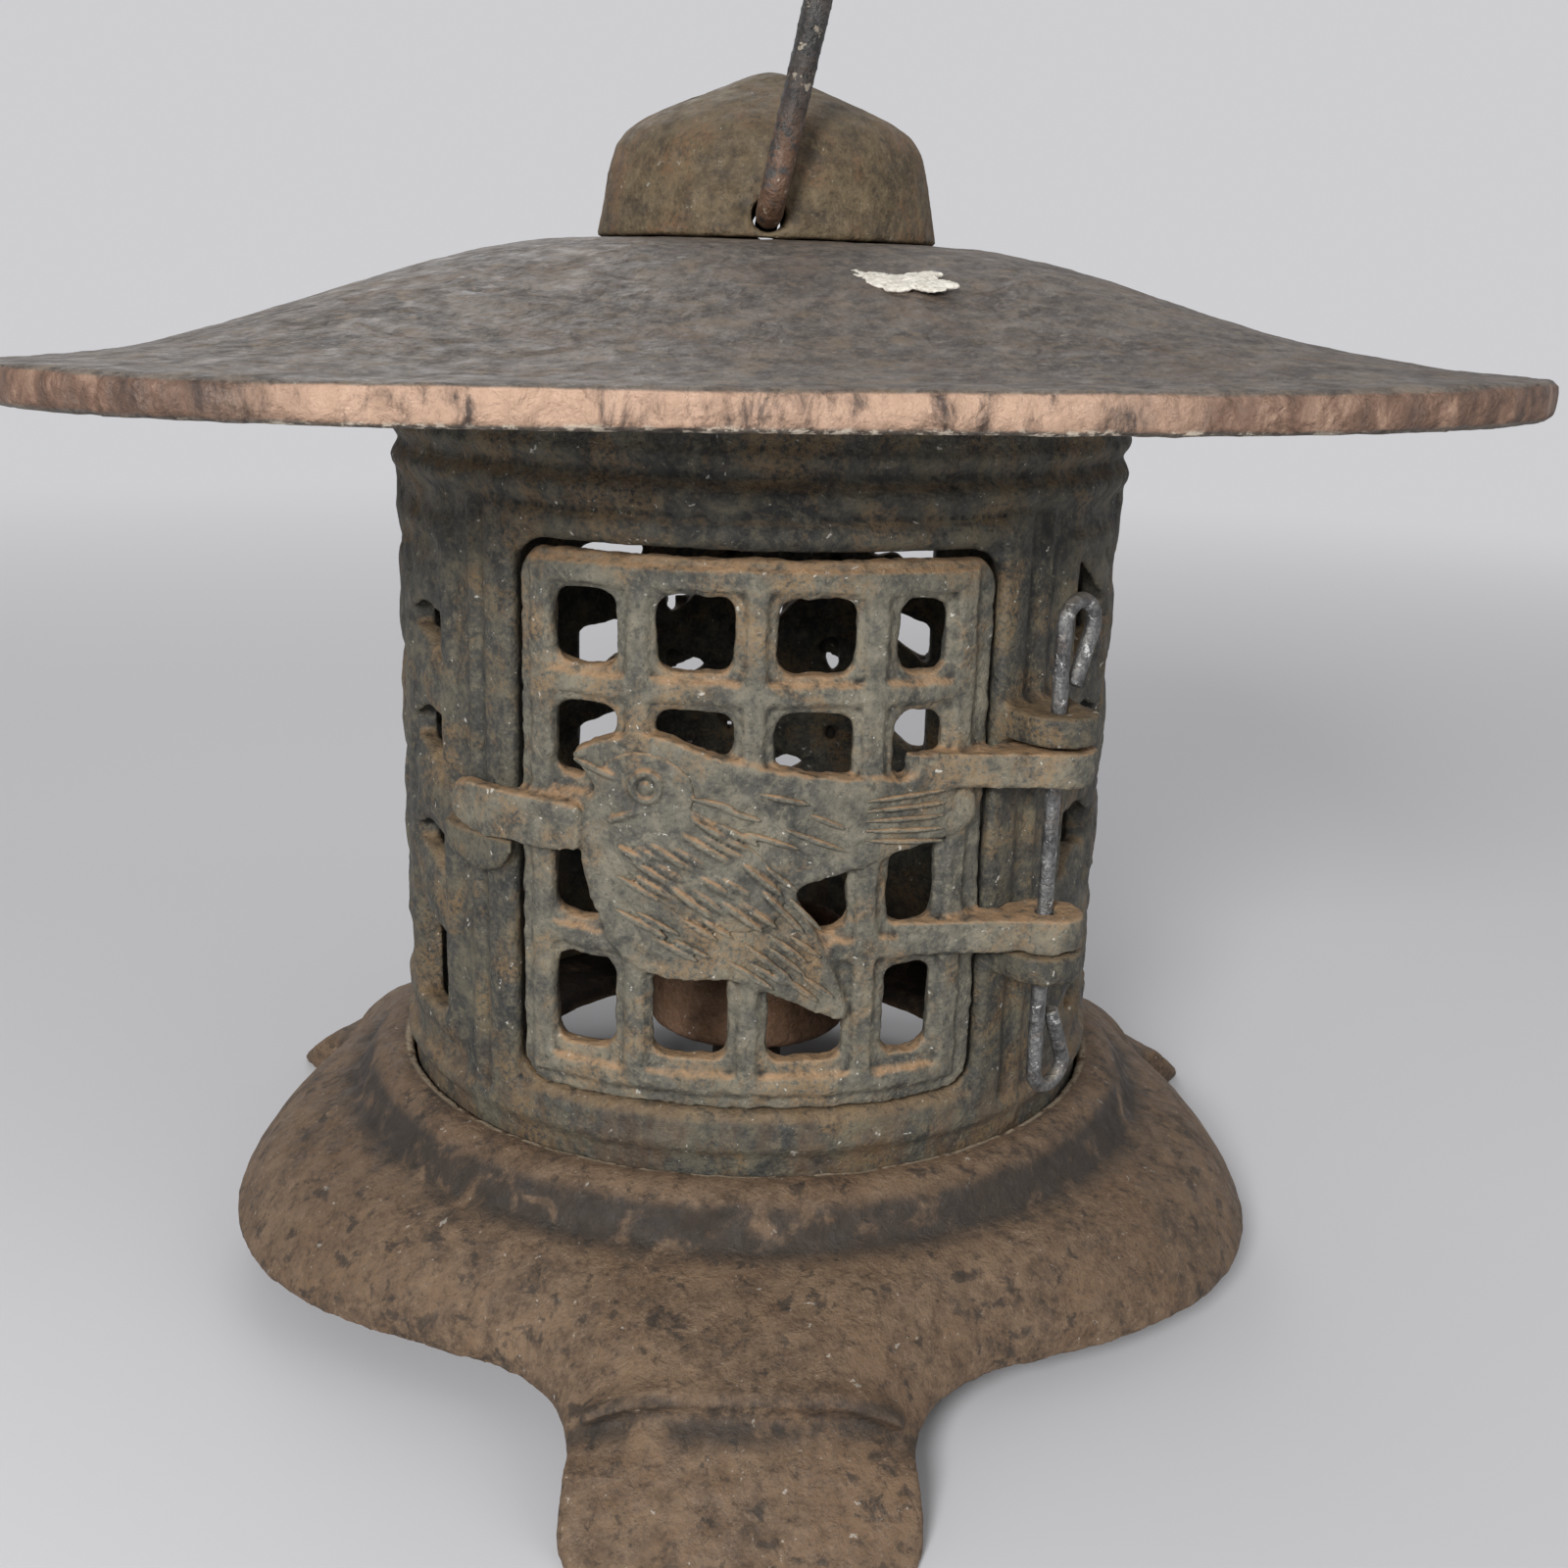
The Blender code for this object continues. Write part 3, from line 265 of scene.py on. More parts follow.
@dataclass
class WallWork:
    """Raised work drawn flat, seen from the front, then laid round a wall."""

    radius: float
    sunk: float = 1.2
    cut_step: float = 4.0
    most_cuts: int = 24
    made: list = field(default_factory=list)

    def strip(self, left: float, right: float, low: float, high: float, rise: float) -> None:
        """Add a flat strip.

        Args:
            left: Left edge in mm.
            right: Right edge in mm.
            low: Lower edge in mm.
            high: Upper edge in mm.
            rise: Height above the wall in mm.
        """
        clear_selection()
        bpy.ops.mesh.primitive_cube_add(size=1.0)
        piece = newest(Relief.STRIP.value)
        piece.dimensions = ((right - left) * MM, (rise + self.sunk) * MM, (high - low) * MM)
        piece.location = (0.5 * (left + right) * MM, -0.5 * (rise - self.sunk) * MM,
                          0.5 * (low + high) * MM)
        settle(piece)
        cuts = max(2, int((right - left) / self.cut_step))
        bpy.ops.object.mode_set(mode="EDIT")
        bpy.ops.mesh.select_all(action="SELECT")
        bpy.ops.mesh.subdivide(number_cuts=min(cuts, self.most_cuts))
        bpy.ops.object.mode_set(mode="OBJECT")
        self.made.append(piece)

    def bead(self, centre: Pair, length: float, width: float, rise: float, tilt: float,
             lift: float = 0.0) -> None:
        """Add a slim rounded ridge.

        Args:
            centre: Its middle in mm.
            length: Full length in mm.
            width: Full width in mm.
            rise: Half depth of the ridge in mm.
            tilt: Turn from level in degrees, positive with the right end up.
            lift: Height of its middle above the wall in mm.
        """
        clear_selection()
        bpy.ops.mesh.primitive_uv_sphere_add(segments=16, ring_count=10, radius=1.0)
        piece = newest(Relief.BEAD.value)
        piece.scale = (0.5 * length * MM, rise * MM, 0.5 * width * MM)
        piece.rotation_euler = Euler((0.0, -math.radians(tilt), 0.0))
        piece.location = (centre[0] * MM, -lift * MM, centre[1] * MM)
        settle(piece)
        self.made.append(piece)

    def ring(self, centre: Pair, radius: float, thick: float, lift: float) -> None:
        """Add a small raised ring.

        Args:
            centre: Its middle in mm.
            radius: Radius of its middle line in mm.
            thick: Radius of its section in mm.
            lift: Height of its middle above the wall in mm.
        """
        clear_selection()
        bpy.ops.mesh.primitive_torus_add(major_radius=radius * MM, minor_radius=thick * MM,
                                         major_segments=24, minor_segments=10)
        piece = newest(Relief.RING.value)
        piece.rotation_euler = Euler((math.radians(90.0), 0.0, 0.0))
        piece.location = (centre[0] * MM, -lift * MM, centre[1] * MM)
        settle(piece)
        self.made.append(piece)

    def laid(self, azimuth: float = 0.0) -> Piece:
        """Join the work, lay it round the wall and turn it to its side.

        Args:
            azimuth: Turn about the axis in degrees, from the front towards the right.

        Returns:
            The raised work as one piece.
        """
        piece = join_all(self.made)
        self.made = []
        centre = lantern_axis()
        turn = Matrix.Rotation(math.radians(azimuth), 3, "Z")
        for vertex in piece.data.vertices:
            across, out, height = vertex.co
            reach = self.radius * MM - out
            depth = math.sqrt(max(reach * reach - across * across, 0.0))
            vertex.co = turn @ Vector((across, -depth, height)) + centre
        return piece


# Finishes


class NodeSheet:
    """Adds and links the nodes of one tree."""

    def __init__(self, tree: bpy.types.NodeTree) -> None:
        """Take up a tree.

        Args:
            tree: The tree of a finish or of the surround.
        """
        self.tree = tree

    def add(self, kind: str, *settings: tuple[str, object]) -> bpy.types.Node:
        """Add one node of a kind and set its named inputs."""
        node = self.tree.nodes.new(kind)
        for name, value in settings:
            node.inputs[name].default_value = value
        return node

    def feed(self, value: object, socket: Socket) -> None:
        """Link a socket, or set a plain value.

        Args:
            value: An output socket, a number or a colour.
            socket: The input that takes it.
        """
        if isinstance(value, Socket):
            self.tree.links.new(value, socket)
        elif isinstance(value, tuple):
            socket.default_value = (*value, 1.0)
        else:
            socket.default_value = value

    def math(self, operation: str, first: object, second: object) -> Socket:
        """Combine two values.

        Args:
            operation: Name of the operation.
            first: A value or socket.
            second: A value or socket.

        Returns:
            The result.
        """
        node = self.add("ShaderNodeMath")
        node.operation = operation
        self.feed(first, node.inputs[0])
        self.feed(second, node.inputs[1])
        return node.outputs[0]

    def both(self, *values: object) -> Socket:
        """Product of several masks."""
        result = values[0]
        for value in values[1:]:
            result = self.math("MULTIPLY", result, value)
        return result

    def seen(self) -> Socket:
        """Mask of the rays that show the stage itself."""
        path = self.add("ShaderNodeLightPath").outputs
        direct = self.math("MAXIMUM", path["Is Camera Ray"], path["Is Glossy Ray"])
        return self.math("MAXIMUM", direct, path["Is Transmission Ray"])

    def choose(self, share: Socket, first: Socket, second: Socket, out: Socket) -> None:
        """Show one shader where a mask is 0 and another where it is 1.

        Args:
            share: The mask.
            first: The shader at 0.
            second: The shader at 1.
            out: The input that takes the result.
        """
        node = self.add("ShaderNodeMixShader")
        for value, place in ((share, 0), (first, 1), (second, 2)):
            self.feed(value, node.inputs[place])
        self.feed(node.outputs[0], out)


class NodeSketch(NodeSheet):
    """Lays out the nodes of one finish."""

    def __init__(self, name: str) -> None:
        """Start an empty finish.

        Args:
            name: The material's name.
        """
        self.material = bpy.data.materials.new(name)
        self.material.use_nodes = True
        super().__init__(self.material.node_tree)
        self.shader = self.tree.nodes["Principled BSDF"]
        self.place = self.add("ShaderNodeTexCoord").outputs["Object"]
        self.shape = self.add("ShaderNodeNewGeometry")

    def noise(self, size: float, detail: float = 5.0, rough: float = 0.55, warp: float = 0.0,
              stretch: Place = (1.0, 1.0, 1.0), shift: float = 0.0) -> Socket:
        """Cloudy pattern.

        Args:
            size: Size of its clouds in mm.
            detail: Number of finer layers.
            rough: Weight of the finer layers.
            warp: Distortion.
            stretch: Scale along each axis.
            shift: Offset that makes patterns differ, in metres.

        Returns:
            The pattern's value.
        """
        spread = self.add("ShaderNodeMapping", ("Scale", stretch),
                          ("Location", (shift, shift * 0.7, shift * 1.3)))
        self.feed(self.place, spread.inputs["Vector"])
        node = self.add("ShaderNodeTexNoise", ("Scale", 1.0 / (size * MM)), ("Detail", detail),
                        ("Roughness", rough), ("Distortion", warp))
        self.feed(spread.outputs["Vector"], node.inputs["Vector"])
        return node.outputs["Fac"]

    def vector(self, operation: str, first: Socket,
               second: Sequence[float] = (0.0, 0.0, 0.0)) -> bpy.types.Node:
        """Work on a vector, with a fixed second one."""
        node = self.add("ShaderNodeVectorMath")
        node.operation = operation
        node.inputs[1].default_value = second
        self.feed(first, node.inputs[0])
        return node

    def reach(self) -> Socket:
        """Plan distance from the lantern's axis in metres."""
        centred = self.vector("SUBTRACT", self.place, lantern_axis())
        flat = self.vector("MULTIPLY", centred.outputs[0], (1.0, 1.0, 0.0))
        return self.vector("LENGTH", flat.outputs[0]).outputs["Value"]

    def window(self, value: Socket, low: float, high: float,
               top: float = 1.0) -> Socket:
        """Smooth step from 0 at one value to a top at another.

        Args:
            value: The value to read.
            low: Where the result is 0.
            high: Where it reaches the top.
            top: The largest result.

        Returns:
            The stepped value.
        """
        node = self.add("ShaderNodeMapRange", ("From Min", low), ("From Max", high), ("To Max", top))
        node.interpolation_type = "SMOOTHSTEP"
        self.feed(value, node.inputs["Value"])
        return node.outputs["Result"]

    def step(self, value: Socket, ends: Pair) -> Socket:
        """Smooth step of a place or distance from 0 to 1 between two ends in mm."""
        return self.window(value, ends[0] * MM, ends[1] * MM)

    def blend(self, share: object, under: object, over: object) -> Socket:
        """Lay one colour over another.

        Args:
            share: How much of the upper colour shows.
            under: The lower colour.
            over: The upper colour.

        Returns:
            The mixed colour.
        """
        node = self.add("ShaderNodeMix")
        node.data_type = "RGBA"
        self.feed(share, node.inputs["Factor"])
        self.feed(under, node.inputs[6])
        self.feed(over, node.inputs[7])
        return node.outputs[2]

    def ramp(self, value: Socket,
             stops: Sequence[tuple[float, Colour]]) -> Socket:
        """Colour that follows a value.

        Args:
            value: The value to read.
            stops: Places and colours, in order.

        Returns:
            The colour.
        """
        node = self.add("ShaderNodeValToRGB")
        line = node.color_ramp
        while len(line.elements) < len(stops):
            line.elements.new(0.5)
        for element, (place, colour) in zip(line.elements, stops):
            element.position = place
            element.color = (*colour, 1.0)
        self.feed(value, node.inputs["Fac"])
        return node.outputs["Color"]

    def split(self, source: Socket, axis: Axis) -> Socket:
        """One part of a vector."""
        node = self.add("ShaderNodeSeparateXYZ")
        self.feed(source, node.inputs[0])
        return node.outputs[axis.value]

    def facing(self, axis: Axis) -> Socket:
        """How far the surface faces along an axis, from -1 to 1."""
        return self.split(self.shape.outputs["Normal"], axis)

    def along(self, axis: Axis) -> Socket:
        """Place along an axis in metres."""
        return self.split(self.place, axis)

    def edges(self) -> Socket:
        """Value above one half on ridges and below it in hollows."""
        return self.shape.outputs["Pointiness"]

    def bump(self, layers: Sequence[tuple[Socket, float, float]]) -> None:
        """Roughen the surface with fine heights.

        Args:
            layers: Each height with its strength and its depth in mm.
        """
        last: Optional[Socket] = None
        for height, strength, depth in layers:
            node = self.add("ShaderNodeBump", ("Strength", strength), ("Distance", depth * MM))
            self.feed(height, node.inputs["Height"])
            if last is not None:
                self.feed(last, node.inputs["Normal"])
            last = node.outputs["Normal"]
        if last is not None:
            self.feed(last, self.shader.inputs["Normal"])


@dataclass(frozen=True)
class IronFinish:
    """Old cast iron: worn dark skin, rust, dust on ledges, pale flecks, painted shade in hollows and painted
    highlights on ridges.
    """

    name: str
    dark: Colour
    mid: Colour
    light: Colour
    rust: Colour
    dust: Colour
    fleck: Colour = (0.62, 0.60, 0.54)
    rust_share: float = 0.6
    dust_share: float = 0.5
    fleck_share: float = 0.6
    blotch: float = 16.0
    metal: float = 0.15
    rough_low: float = 0.55
    rough_high: float = 0.9
    hammer: float = 0.0

    def colour(self, sketch: NodeSketch) -> Socket:
        """Lay the colours over each other.

        Args:
            sketch: The finish being drawn.

        Returns:
            The surface colour.
        """
        blotch = sketch.noise(self.blotch, 9.0, 0.68, 0.4)
        mottle = sketch.noise(self.blotch * 0.25, 8.0, 0.7, 0.3, shift=0.31)
        grain = sketch.noise(0.85, 4.0, 0.65, shift=0.12)
        skin = sketch.ramp(blotch, ((0.34, self.dark), (0.5, self.mid), (0.66, self.light)))
        for pattern, low, high, share, over in (
                (mottle, 0.48, 0.66, 0.75, self.light), (mottle, 0.48, 0.32, 0.75, self.dark),
                (grain, 0.52, 0.68, 0.5, self.light), (grain, 0.46, 0.30, 0.6, self.dark)):
            skin = sketch.blend(sketch.window(pattern, low, high, share), skin, over)
        patch = sketch.noise(self.blotch * 1.5, 9.0, 0.7, 0.6, shift=0.77)
        rust = sketch.both(sketch.window(patch, 0.48, 0.62), sketch.window(grain, 0.36, 0.56),
                           self.rust_share)
        skin = sketch.blend(rust, skin, self.rust)
        ledge = sketch.both(sketch.window(sketch.facing(Axis.Z), 0.2, 0.8),
                            sketch.window(mottle, 0.3, 0.55), self.dust_share)
        skin = sketch.blend(ledge, skin, self.dust)
        # Painted shade: hollows darken almost to black, with some crevice grime.
        shaded_hollow = sketch.window(sketch.edges(), 0.492, 0.44, 0.85)
        skin = sketch.blend(shaded_hollow, skin, tuple(0.3 * value for value in self.dark))
        # Raised edges turn paler: painted highlight, with rubbed wear.
        ridge = sketch.both(sketch.window(sketch.edges(), 0.51, 0.57), sketch.window(grain, 0.34, 0.6), 0.6)
        skin = sketch.blend(ridge, skin, self.light)
        flecks = sketch.window(sketch.noise(2.2, 3.0, 0.6, 0.3, shift=0.41), 0.69, 0.73)
        crumbs = sketch.both(sketch.window(sketch.noise(1.0, 3.0, 0.6, shift=0.83), 0.66, 0.71),
                             sketch.window(mottle, 0.5, 0.6))
        pale = sketch.both(sketch.math("MAXIMUM", flecks, crumbs), self.fleck_share)
        return sketch.blend(pale, skin, self.fleck)

    def extra(self, sketch: NodeSketch, skin: Socket) -> Socket:
        """Lay marks that only one piece has over the skin; plain iron has none.

        Args:
            sketch: The finish being drawn.
            skin: The colour below.

        Returns:
            The colour with its marks.
        """
        return skin

    def material(self) -> bpy.types.Material:
        """Draw the finish.

        Returns:
            The material.
        """
        sketch = NodeSketch(self.name)
        skin = self.extra(sketch, self.colour(sketch))
        sketch.feed(skin, sketch.shader.inputs["Base Color"])
        wear = sketch.noise(4.0, 5.0, 0.6, shift=0.5)
        rough = sketch.add("ShaderNodeMapRange", ("From Min", 0.3), ("From Max", 0.7),
                           ("To Min", self.rough_low), ("To Max", self.rough_high))
        sketch.feed(wear, rough.inputs["Value"])
        sketch.feed(rough.outputs["Result"], sketch.shader.inputs["Roughness"])
        sketch.shader.inputs["Metallic"].default_value = self.metal
        pits = sketch.noise(2.6, 6.0, 0.6, 0.4, shift=0.9)
        sand = sketch.noise(0.7, 4.0, 0.6, shift=0.2)
        dents = sketch.noise(8.0, 2.0, 0.5, 0.6, shift=0.63)
        sketch.bump(((dents, 1.0, self.hammer), (pits, 0.8, 0.9), (sand, 0.75, 0.34)))
        return sketch.material


@dataclass(frozen=True)
class RoofFinish(IronFinish):
    """Roof iron with a bare rusty rim, a painted highlight across its front, and a thin crust under its edge.
    """

    rim: Colour = (0.135, 0.076, 0.050)
    rim_pale_and_highlight: Colour = (0.42, 0.275, 0.19)
    rim_dark: Colour = (0.050, 0.031, 0.023)
    crust: Colour = (0.58, 0.50, 0.40)
    streak: Colour = (0.17, 0.125, 0.082)
    rim_low: float = 174.0
    rim_slope: float = 0.015
    rim_reach: Pair = (113.0, 117.0)
    highlight_middle: float = -8.0
    highlight_half: float = 58.0
    highlight_soft: float = 14.0

    def extra(self, sketch: NodeSketch, skin: Socket) -> Socket:
        """Lay streaks, the bare rim with its painted front highlight, and its crust over the skin."""
        hammer = sketch.noise(5.0, 4.0, 0.6, 0.5, shift=0.37)
        skin = sketch.blend(sketch.window(hammer, 0.56, 0.68, 0.55), skin, self.streak)
        upright = sketch.window(sketch.math("ABSOLUTE", sketch.facing(Axis.Z), 0.0), 0.78, 0.5)
        outer = sketch.step(sketch.reach(), self.rim_reach)
        stain_and_shading = sketch.noise(6.0, 7.0, 0.68, 0.3, (1.0, 1.0, 0.4), 0.15)
        bare = sketch.ramp(stain_and_shading, ((0.38, self.rim_dark), (0.54, self.rim), (0.8, self.rim_pale_and_highlight)))
        # Painted highlight: across a band about its middle, the rim's front turns paler as if lit.
        offset = sketch.math("SUBTRACT", sketch.along(Axis.X), self.highlight_middle * MM)
        aside = sketch.math("ABSOLUTE", offset, 0.0)
        sides = (self.highlight_half + self.highlight_soft, self.highlight_half - self.highlight_soft)
        front = sketch.both(sketch.step(aside, sides),
                            sketch.window(sketch.along(Axis.Y), 0.0, -0.05),
                            sketch.window(stain_and_shading, 0.34, 0.52, 0.85))
        bare = sketch.blend(front, bare, self.rim_pale_and_highlight)
        skin = sketch.blend(sketch.both(upright, outer), skin, bare)
        crumbs = sketch.noise(3.0, 5.0, 0.7, shift=0.66)
        slope = sketch.both(sketch.along(Axis.X), self.rim_slope)
        level = sketch.math("SUBTRACT", sketch.along(Axis.Z), slope)
        lower = sketch.step(level, (self.rim_low + 1.5, self.rim_low + 0.5))
        crust = sketch.both(lower, outer, sketch.window(crumbs, 0.5, 0.6))
        return sketch.blend(crust, skin, self.crust)


@dataclass(frozen=True)
class BodyFinish(IronFinish):
    """Body iron with rust gathering towards its foot."""

    foot: Colour = (0.11, 0.066, 0.036)
    foot_low: float = 40.0
    foot_high: float = 62.0

    def extra(self, sketch: NodeSketch, skin: Socket) -> Socket:
        """Stain the lower wall."""
        low_part = sketch.step(sketch.along(Axis.Z), (self.foot_high, self.foot_low))
        runs = sketch.noise(6.0, 6.0, 0.65, 0.2, (1.0, 1.0, 0.3), 0.44)
        return sketch.blend(sketch.both(low_part, sketch.window(runs, 0.42, 0.62), 0.6), skin, self.foot)


@dataclass(frozen=True)
class BaseFinish(IronFinish):
    """Base iron with painted shade round the collar's foot and under the lip, and a pale line against the
    body.
    """

    stain_and_shading: Colour = (0.022, 0.017, 0.013)
    seam: Colour = (0.42, 0.34, 0.24)
    shade_ring_low: Pair = (29.6, 31.6)
    shade_ring_high: Pair = (39.0, 36.4)
    crease_in: Pair = (109.0, 110.2)
    crease_out: Pair = (114.5, 111.0)
    seam_reach: Pair = (72.6, 71.7)
    seam_level: Pair = (38.8, 39.6)

    def extra(self, sketch: NodeSketch, skin: Socket) -> Socket:
        """Paint shade at the collar's foot and in the feet's creases, darken stain spots, and draw the pale
        seam.
        """
        height = sketch.along(Axis.Z)
        cloud = sketch.noise(9.0, 7.0, 0.66, 0.5, shift=0.58)
        # Painted shade: a dark ring in the valley at the collar's foot, broken up by noise.
        ring = sketch.both(sketch.step(height, self.shade_ring_low), sketch.step(height, self.shade_ring_high))
        skin = sketch.blend(sketch.both(ring, sketch.window(cloud, 0.32, 0.5), 0.9), skin, self.stain_and_shading)
        drops = sketch.noise(3.4, 5.0, 0.62, 0.4, shift=0.91)
        spots = sketch.both(sketch.window(drops, 0.53, 0.64), sketch.window(cloud, 0.4, 0.55), 0.75)
        skin = sketch.blend(spots, skin, self.stain_and_shading)
        # Painted shade: a dark crease line under the lip, all round the feet.
        away = sketch.reach()
        crease_shade = sketch.both(sketch.step(away, self.crease_in), sketch.step(away, self.crease_out),
                             sketch.window(cloud, 0.34, 0.54), 0.8)
        skin = sketch.blend(crease_shade, skin, self.stain_and_shading)
        seam = sketch.both(sketch.step(away, self.seam_reach), sketch.step(height, self.seam_level),
                           sketch.window(drops, 0.4, 0.5), 0.85)
        return sketch.blend(seam, skin, self.seam)


@dataclass(frozen=True)
class FleckedSteel(IronFinish):
    """Drawn steel or black paint with chips and pale paint flecks."""

    chip_size: float = 3.0
    chip_share: float = 0.7
    rusty_below: float = 0.0
    rusty_soft: float = 12.0

    def extra(self, sketch: NodeSketch, skin: Socket) -> Socket:
        """Rust the lower ends and scatter pale chips."""
        chips = sketch.noise(self.chip_size, 5.0, 0.7, 0.2, shift=0.23)
        ends = sketch.step(sketch.along(Axis.Z), (self.rusty_below, self.rusty_below - self.rusty_soft))
        skin = sketch.blend(sketch.both(ends, sketch.window(chips, 0.36, 0.5), 0.85), skin, self.rust)
        return sketch.blend(sketch.window(chips, 0.60, 0.66, self.chip_share), skin, self.fleck)


ROOF_IRON = RoofFinish("roof_iron", (0.020, 0.017, 0.015), (0.066, 0.053, 0.044), (0.165, 0.135, 0.108),
                       (0.105, 0.066, 0.042), (0.13, 0.106, 0.084), dust_share=0.15, blotch=9.0,
                       fleck_share=0.2, rough_low=0.42, rough_high=0.75, hammer=2.6)
CAP_IRON = IronFinish("cap_iron", (0.034, 0.025, 0.015), (0.088, 0.062, 0.033), (0.15, 0.110, 0.06),
                      (0.16, 0.08, 0.038), (0.12, 0.09, 0.055), dust_share=0.3, rust_share=0.6, blotch=9.0,
                      fleck_share=0.25, hammer=0.8)
BODY_IRON = BodyFinish("body_iron", (0.016, 0.017, 0.017), (0.050, 0.048, 0.040), (0.125, 0.110, 0.074),
                       (0.19, 0.118, 0.052), (0.26, 0.165, 0.082), rust_share=0.6, blotch=10.0, hammer=0.6)
DOOR_IRON = IronFinish("door_iron", (0.036, 0.036, 0.032), (0.098, 0.093, 0.074), (0.19, 0.172, 0.126),
                       (0.25, 0.155, 0.072), (0.36, 0.22, 0.115), rust_share=0.6, dust_share=0.85,
                       blotch=11.0)
BASE_IRON = BaseFinish("base_iron", (0.036, 0.024, 0.016), (0.105, 0.066, 0.039), (0.19, 0.124, 0.074),
                       (0.14, 0.08, 0.042), (0.165, 0.108, 0.066), dust_share=0.3, blotch=12.0,
                       fleck_share=0.35)
CUP_IRON = IronFinish("cup_iron", (0.07, 0.04, 0.024), (0.15, 0.082, 0.046), (0.22, 0.13, 0.08),
                      (0.22, 0.11, 0.055), (0.24, 0.15, 0.09))
PIN_STEEL = FleckedSteel("pin_steel", (0.045, 0.045, 0.046), (0.10, 0.10, 0.10), (0.20, 0.20, 0.195),
                         (0.20, 0.12, 0.07), (0.3, 0.26, 0.2), fleck=(0.72, 0.72, 0.70), rust_share=0.25,
                         metal=0.6, rough_low=0.35, rough_high=0.65, blotch=6.0)
BAIL_PAINT = FleckedSteel("bail_paint", (0.010, 0.010, 0.010), (0.022, 0.021, 0.020), (0.055, 0.050, 0.046),
                          (0.12, 0.062, 0.034), (0.08, 0.065, 0.05), fleck=(0.36, 0.31, 0.24), rust_share=0.3,
                          rough_low=0.35, rough_high=0.7, blotch=9.0, chip_size=2.4, rusty_below=226.0)
BOLT_STEEL = IronFinish("fastener_steel", (0.05, 0.035, 0.025), (0.12, 0.08, 0.055), (0.2, 0.15, 0.11),
                        (0.2, 0.1, 0.05), (0.2, 0.13, 0.08), metal=0.4, blotch=6.0)
LIME = IronFinish("lime_crust", (0.42, 0.38, 0.32), (0.58, 0.54, 0.47), (0.72, 0.69, 0.63),
                  (0.36, 0.30, 0.23), (0.66, 0.62, 0.55), rust_share=0.3, metal=0.0, blotch=3.0)


def dress(piece: Piece, finish: IronFinish, slot: str, body: str, *nodes: str) -> None:
    """Give a finished piece its finish, its body and the CAD nodes it stands for.

    Args:
        piece: The finished piece.
        finish: Its finish.
        slot: The record's material slot; not used.
        body: The CAD body it moves with.
        nodes: The CAD nodes that it replaces.
    """
    piece.data.materials.clear()
    piece.data.materials.append(finish.material())
    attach(piece, body)
    if nodes:
        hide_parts(*nodes)
    LOG.info("%s: %d faces", piece.name, len(piece.data.polygons))


# Sub-assemblies


@dataclass
class BaseCasting:
    """Footed base with rolled edges and a lip across the front foot; lengths in mm."""

    grain: Grain = Grain(0.95, 8, 8.0, 0.6, 2.6, 0.25, 0.6)
    lip_r: float = 105.6
    lip_z: float = 19.2
    lip_size: Place = (2.0, 3.9, 53.0)
    side_r: float = 92.0
    side_tilt: float = 0.12
    roll_r: float = 83.0
    roll_width: float = 16.0
    roll_drop: float = 8.5
    roll_low: float = 10.0
    roll_high: float = 21.0

    def lip(self) -> Piece:
        """Rounded lip across the front foot.

        Returns:
            The lip.
        """
        clear_selection()
        bpy.ops.mesh.primitive_cylinder_add(vertices=24, radius=1.0, depth=1.0)
        lip = newest("foot_lip")
        lip.scale = tuple(value * MM for value in self.lip_size)
        lip.rotation_euler = Euler((0.0, math.radians(90.0), 0.0))
        lip.location = lantern_axis() + Vector((0.0, -self.lip_r * MM, self.lip_z * MM))
        settle(lip)
        return lip

    def cut_sides(self, blank: Piece) -> BVHTree:
        """Upright sides of the blank's plan.

        Args:
            blank: The CAD copy.

        Returns:
            A search tree of those faces.
        """
        centre = lantern_axis()
        sides = []
        for face in blank.data.polygons:
            away = face.center - centre
            if abs(face.normal.z) < self.side_tilt and math.hypot(away.x, away.y) > self.side_r * MM:
                sides.append(tuple(face.vertices))
        return BVHTree.FromPolygons([vertex.co.copy() for vertex in blank.data.vertices], sides)

    def roll(self, piece: Piece, sides: BVHTree) -> None:
        """Bend the skirt down towards its outer edge.

        Args:
            piece: The fused base.
            sides: The upright sides that mark the edge.
        """
        centre = lantern_axis()
        for vertex in piece.data.vertices:
            away = vertex.co - centre
            if math.hypot(away.x, away.y) < self.roll_r * MM:
                continue
            gap = sides.find_nearest(vertex.co)[3] / MM
            near = max(0.0, 1.0 - gap / self.roll_width)
            high = (vertex.co.z / MM - self.roll_low) / (self.roll_high - self.roll_low)
            vertex.co.z -= self.roll_drop * near * near * min(max(high, 0.0), 1.0) * MM

    def build(self) -> None:
        """Cast and dress the base."""
        blank = blank_of("base", "base_casting")
        sides = self.cut_sides(blank)
        piece = self.grain.fuse(join_all([blank, self.lip()]))
        self.roll(piece, sides)
        dress(self.grain.surface(piece), BASE_IRON, "base_iron", "lantern", "base")


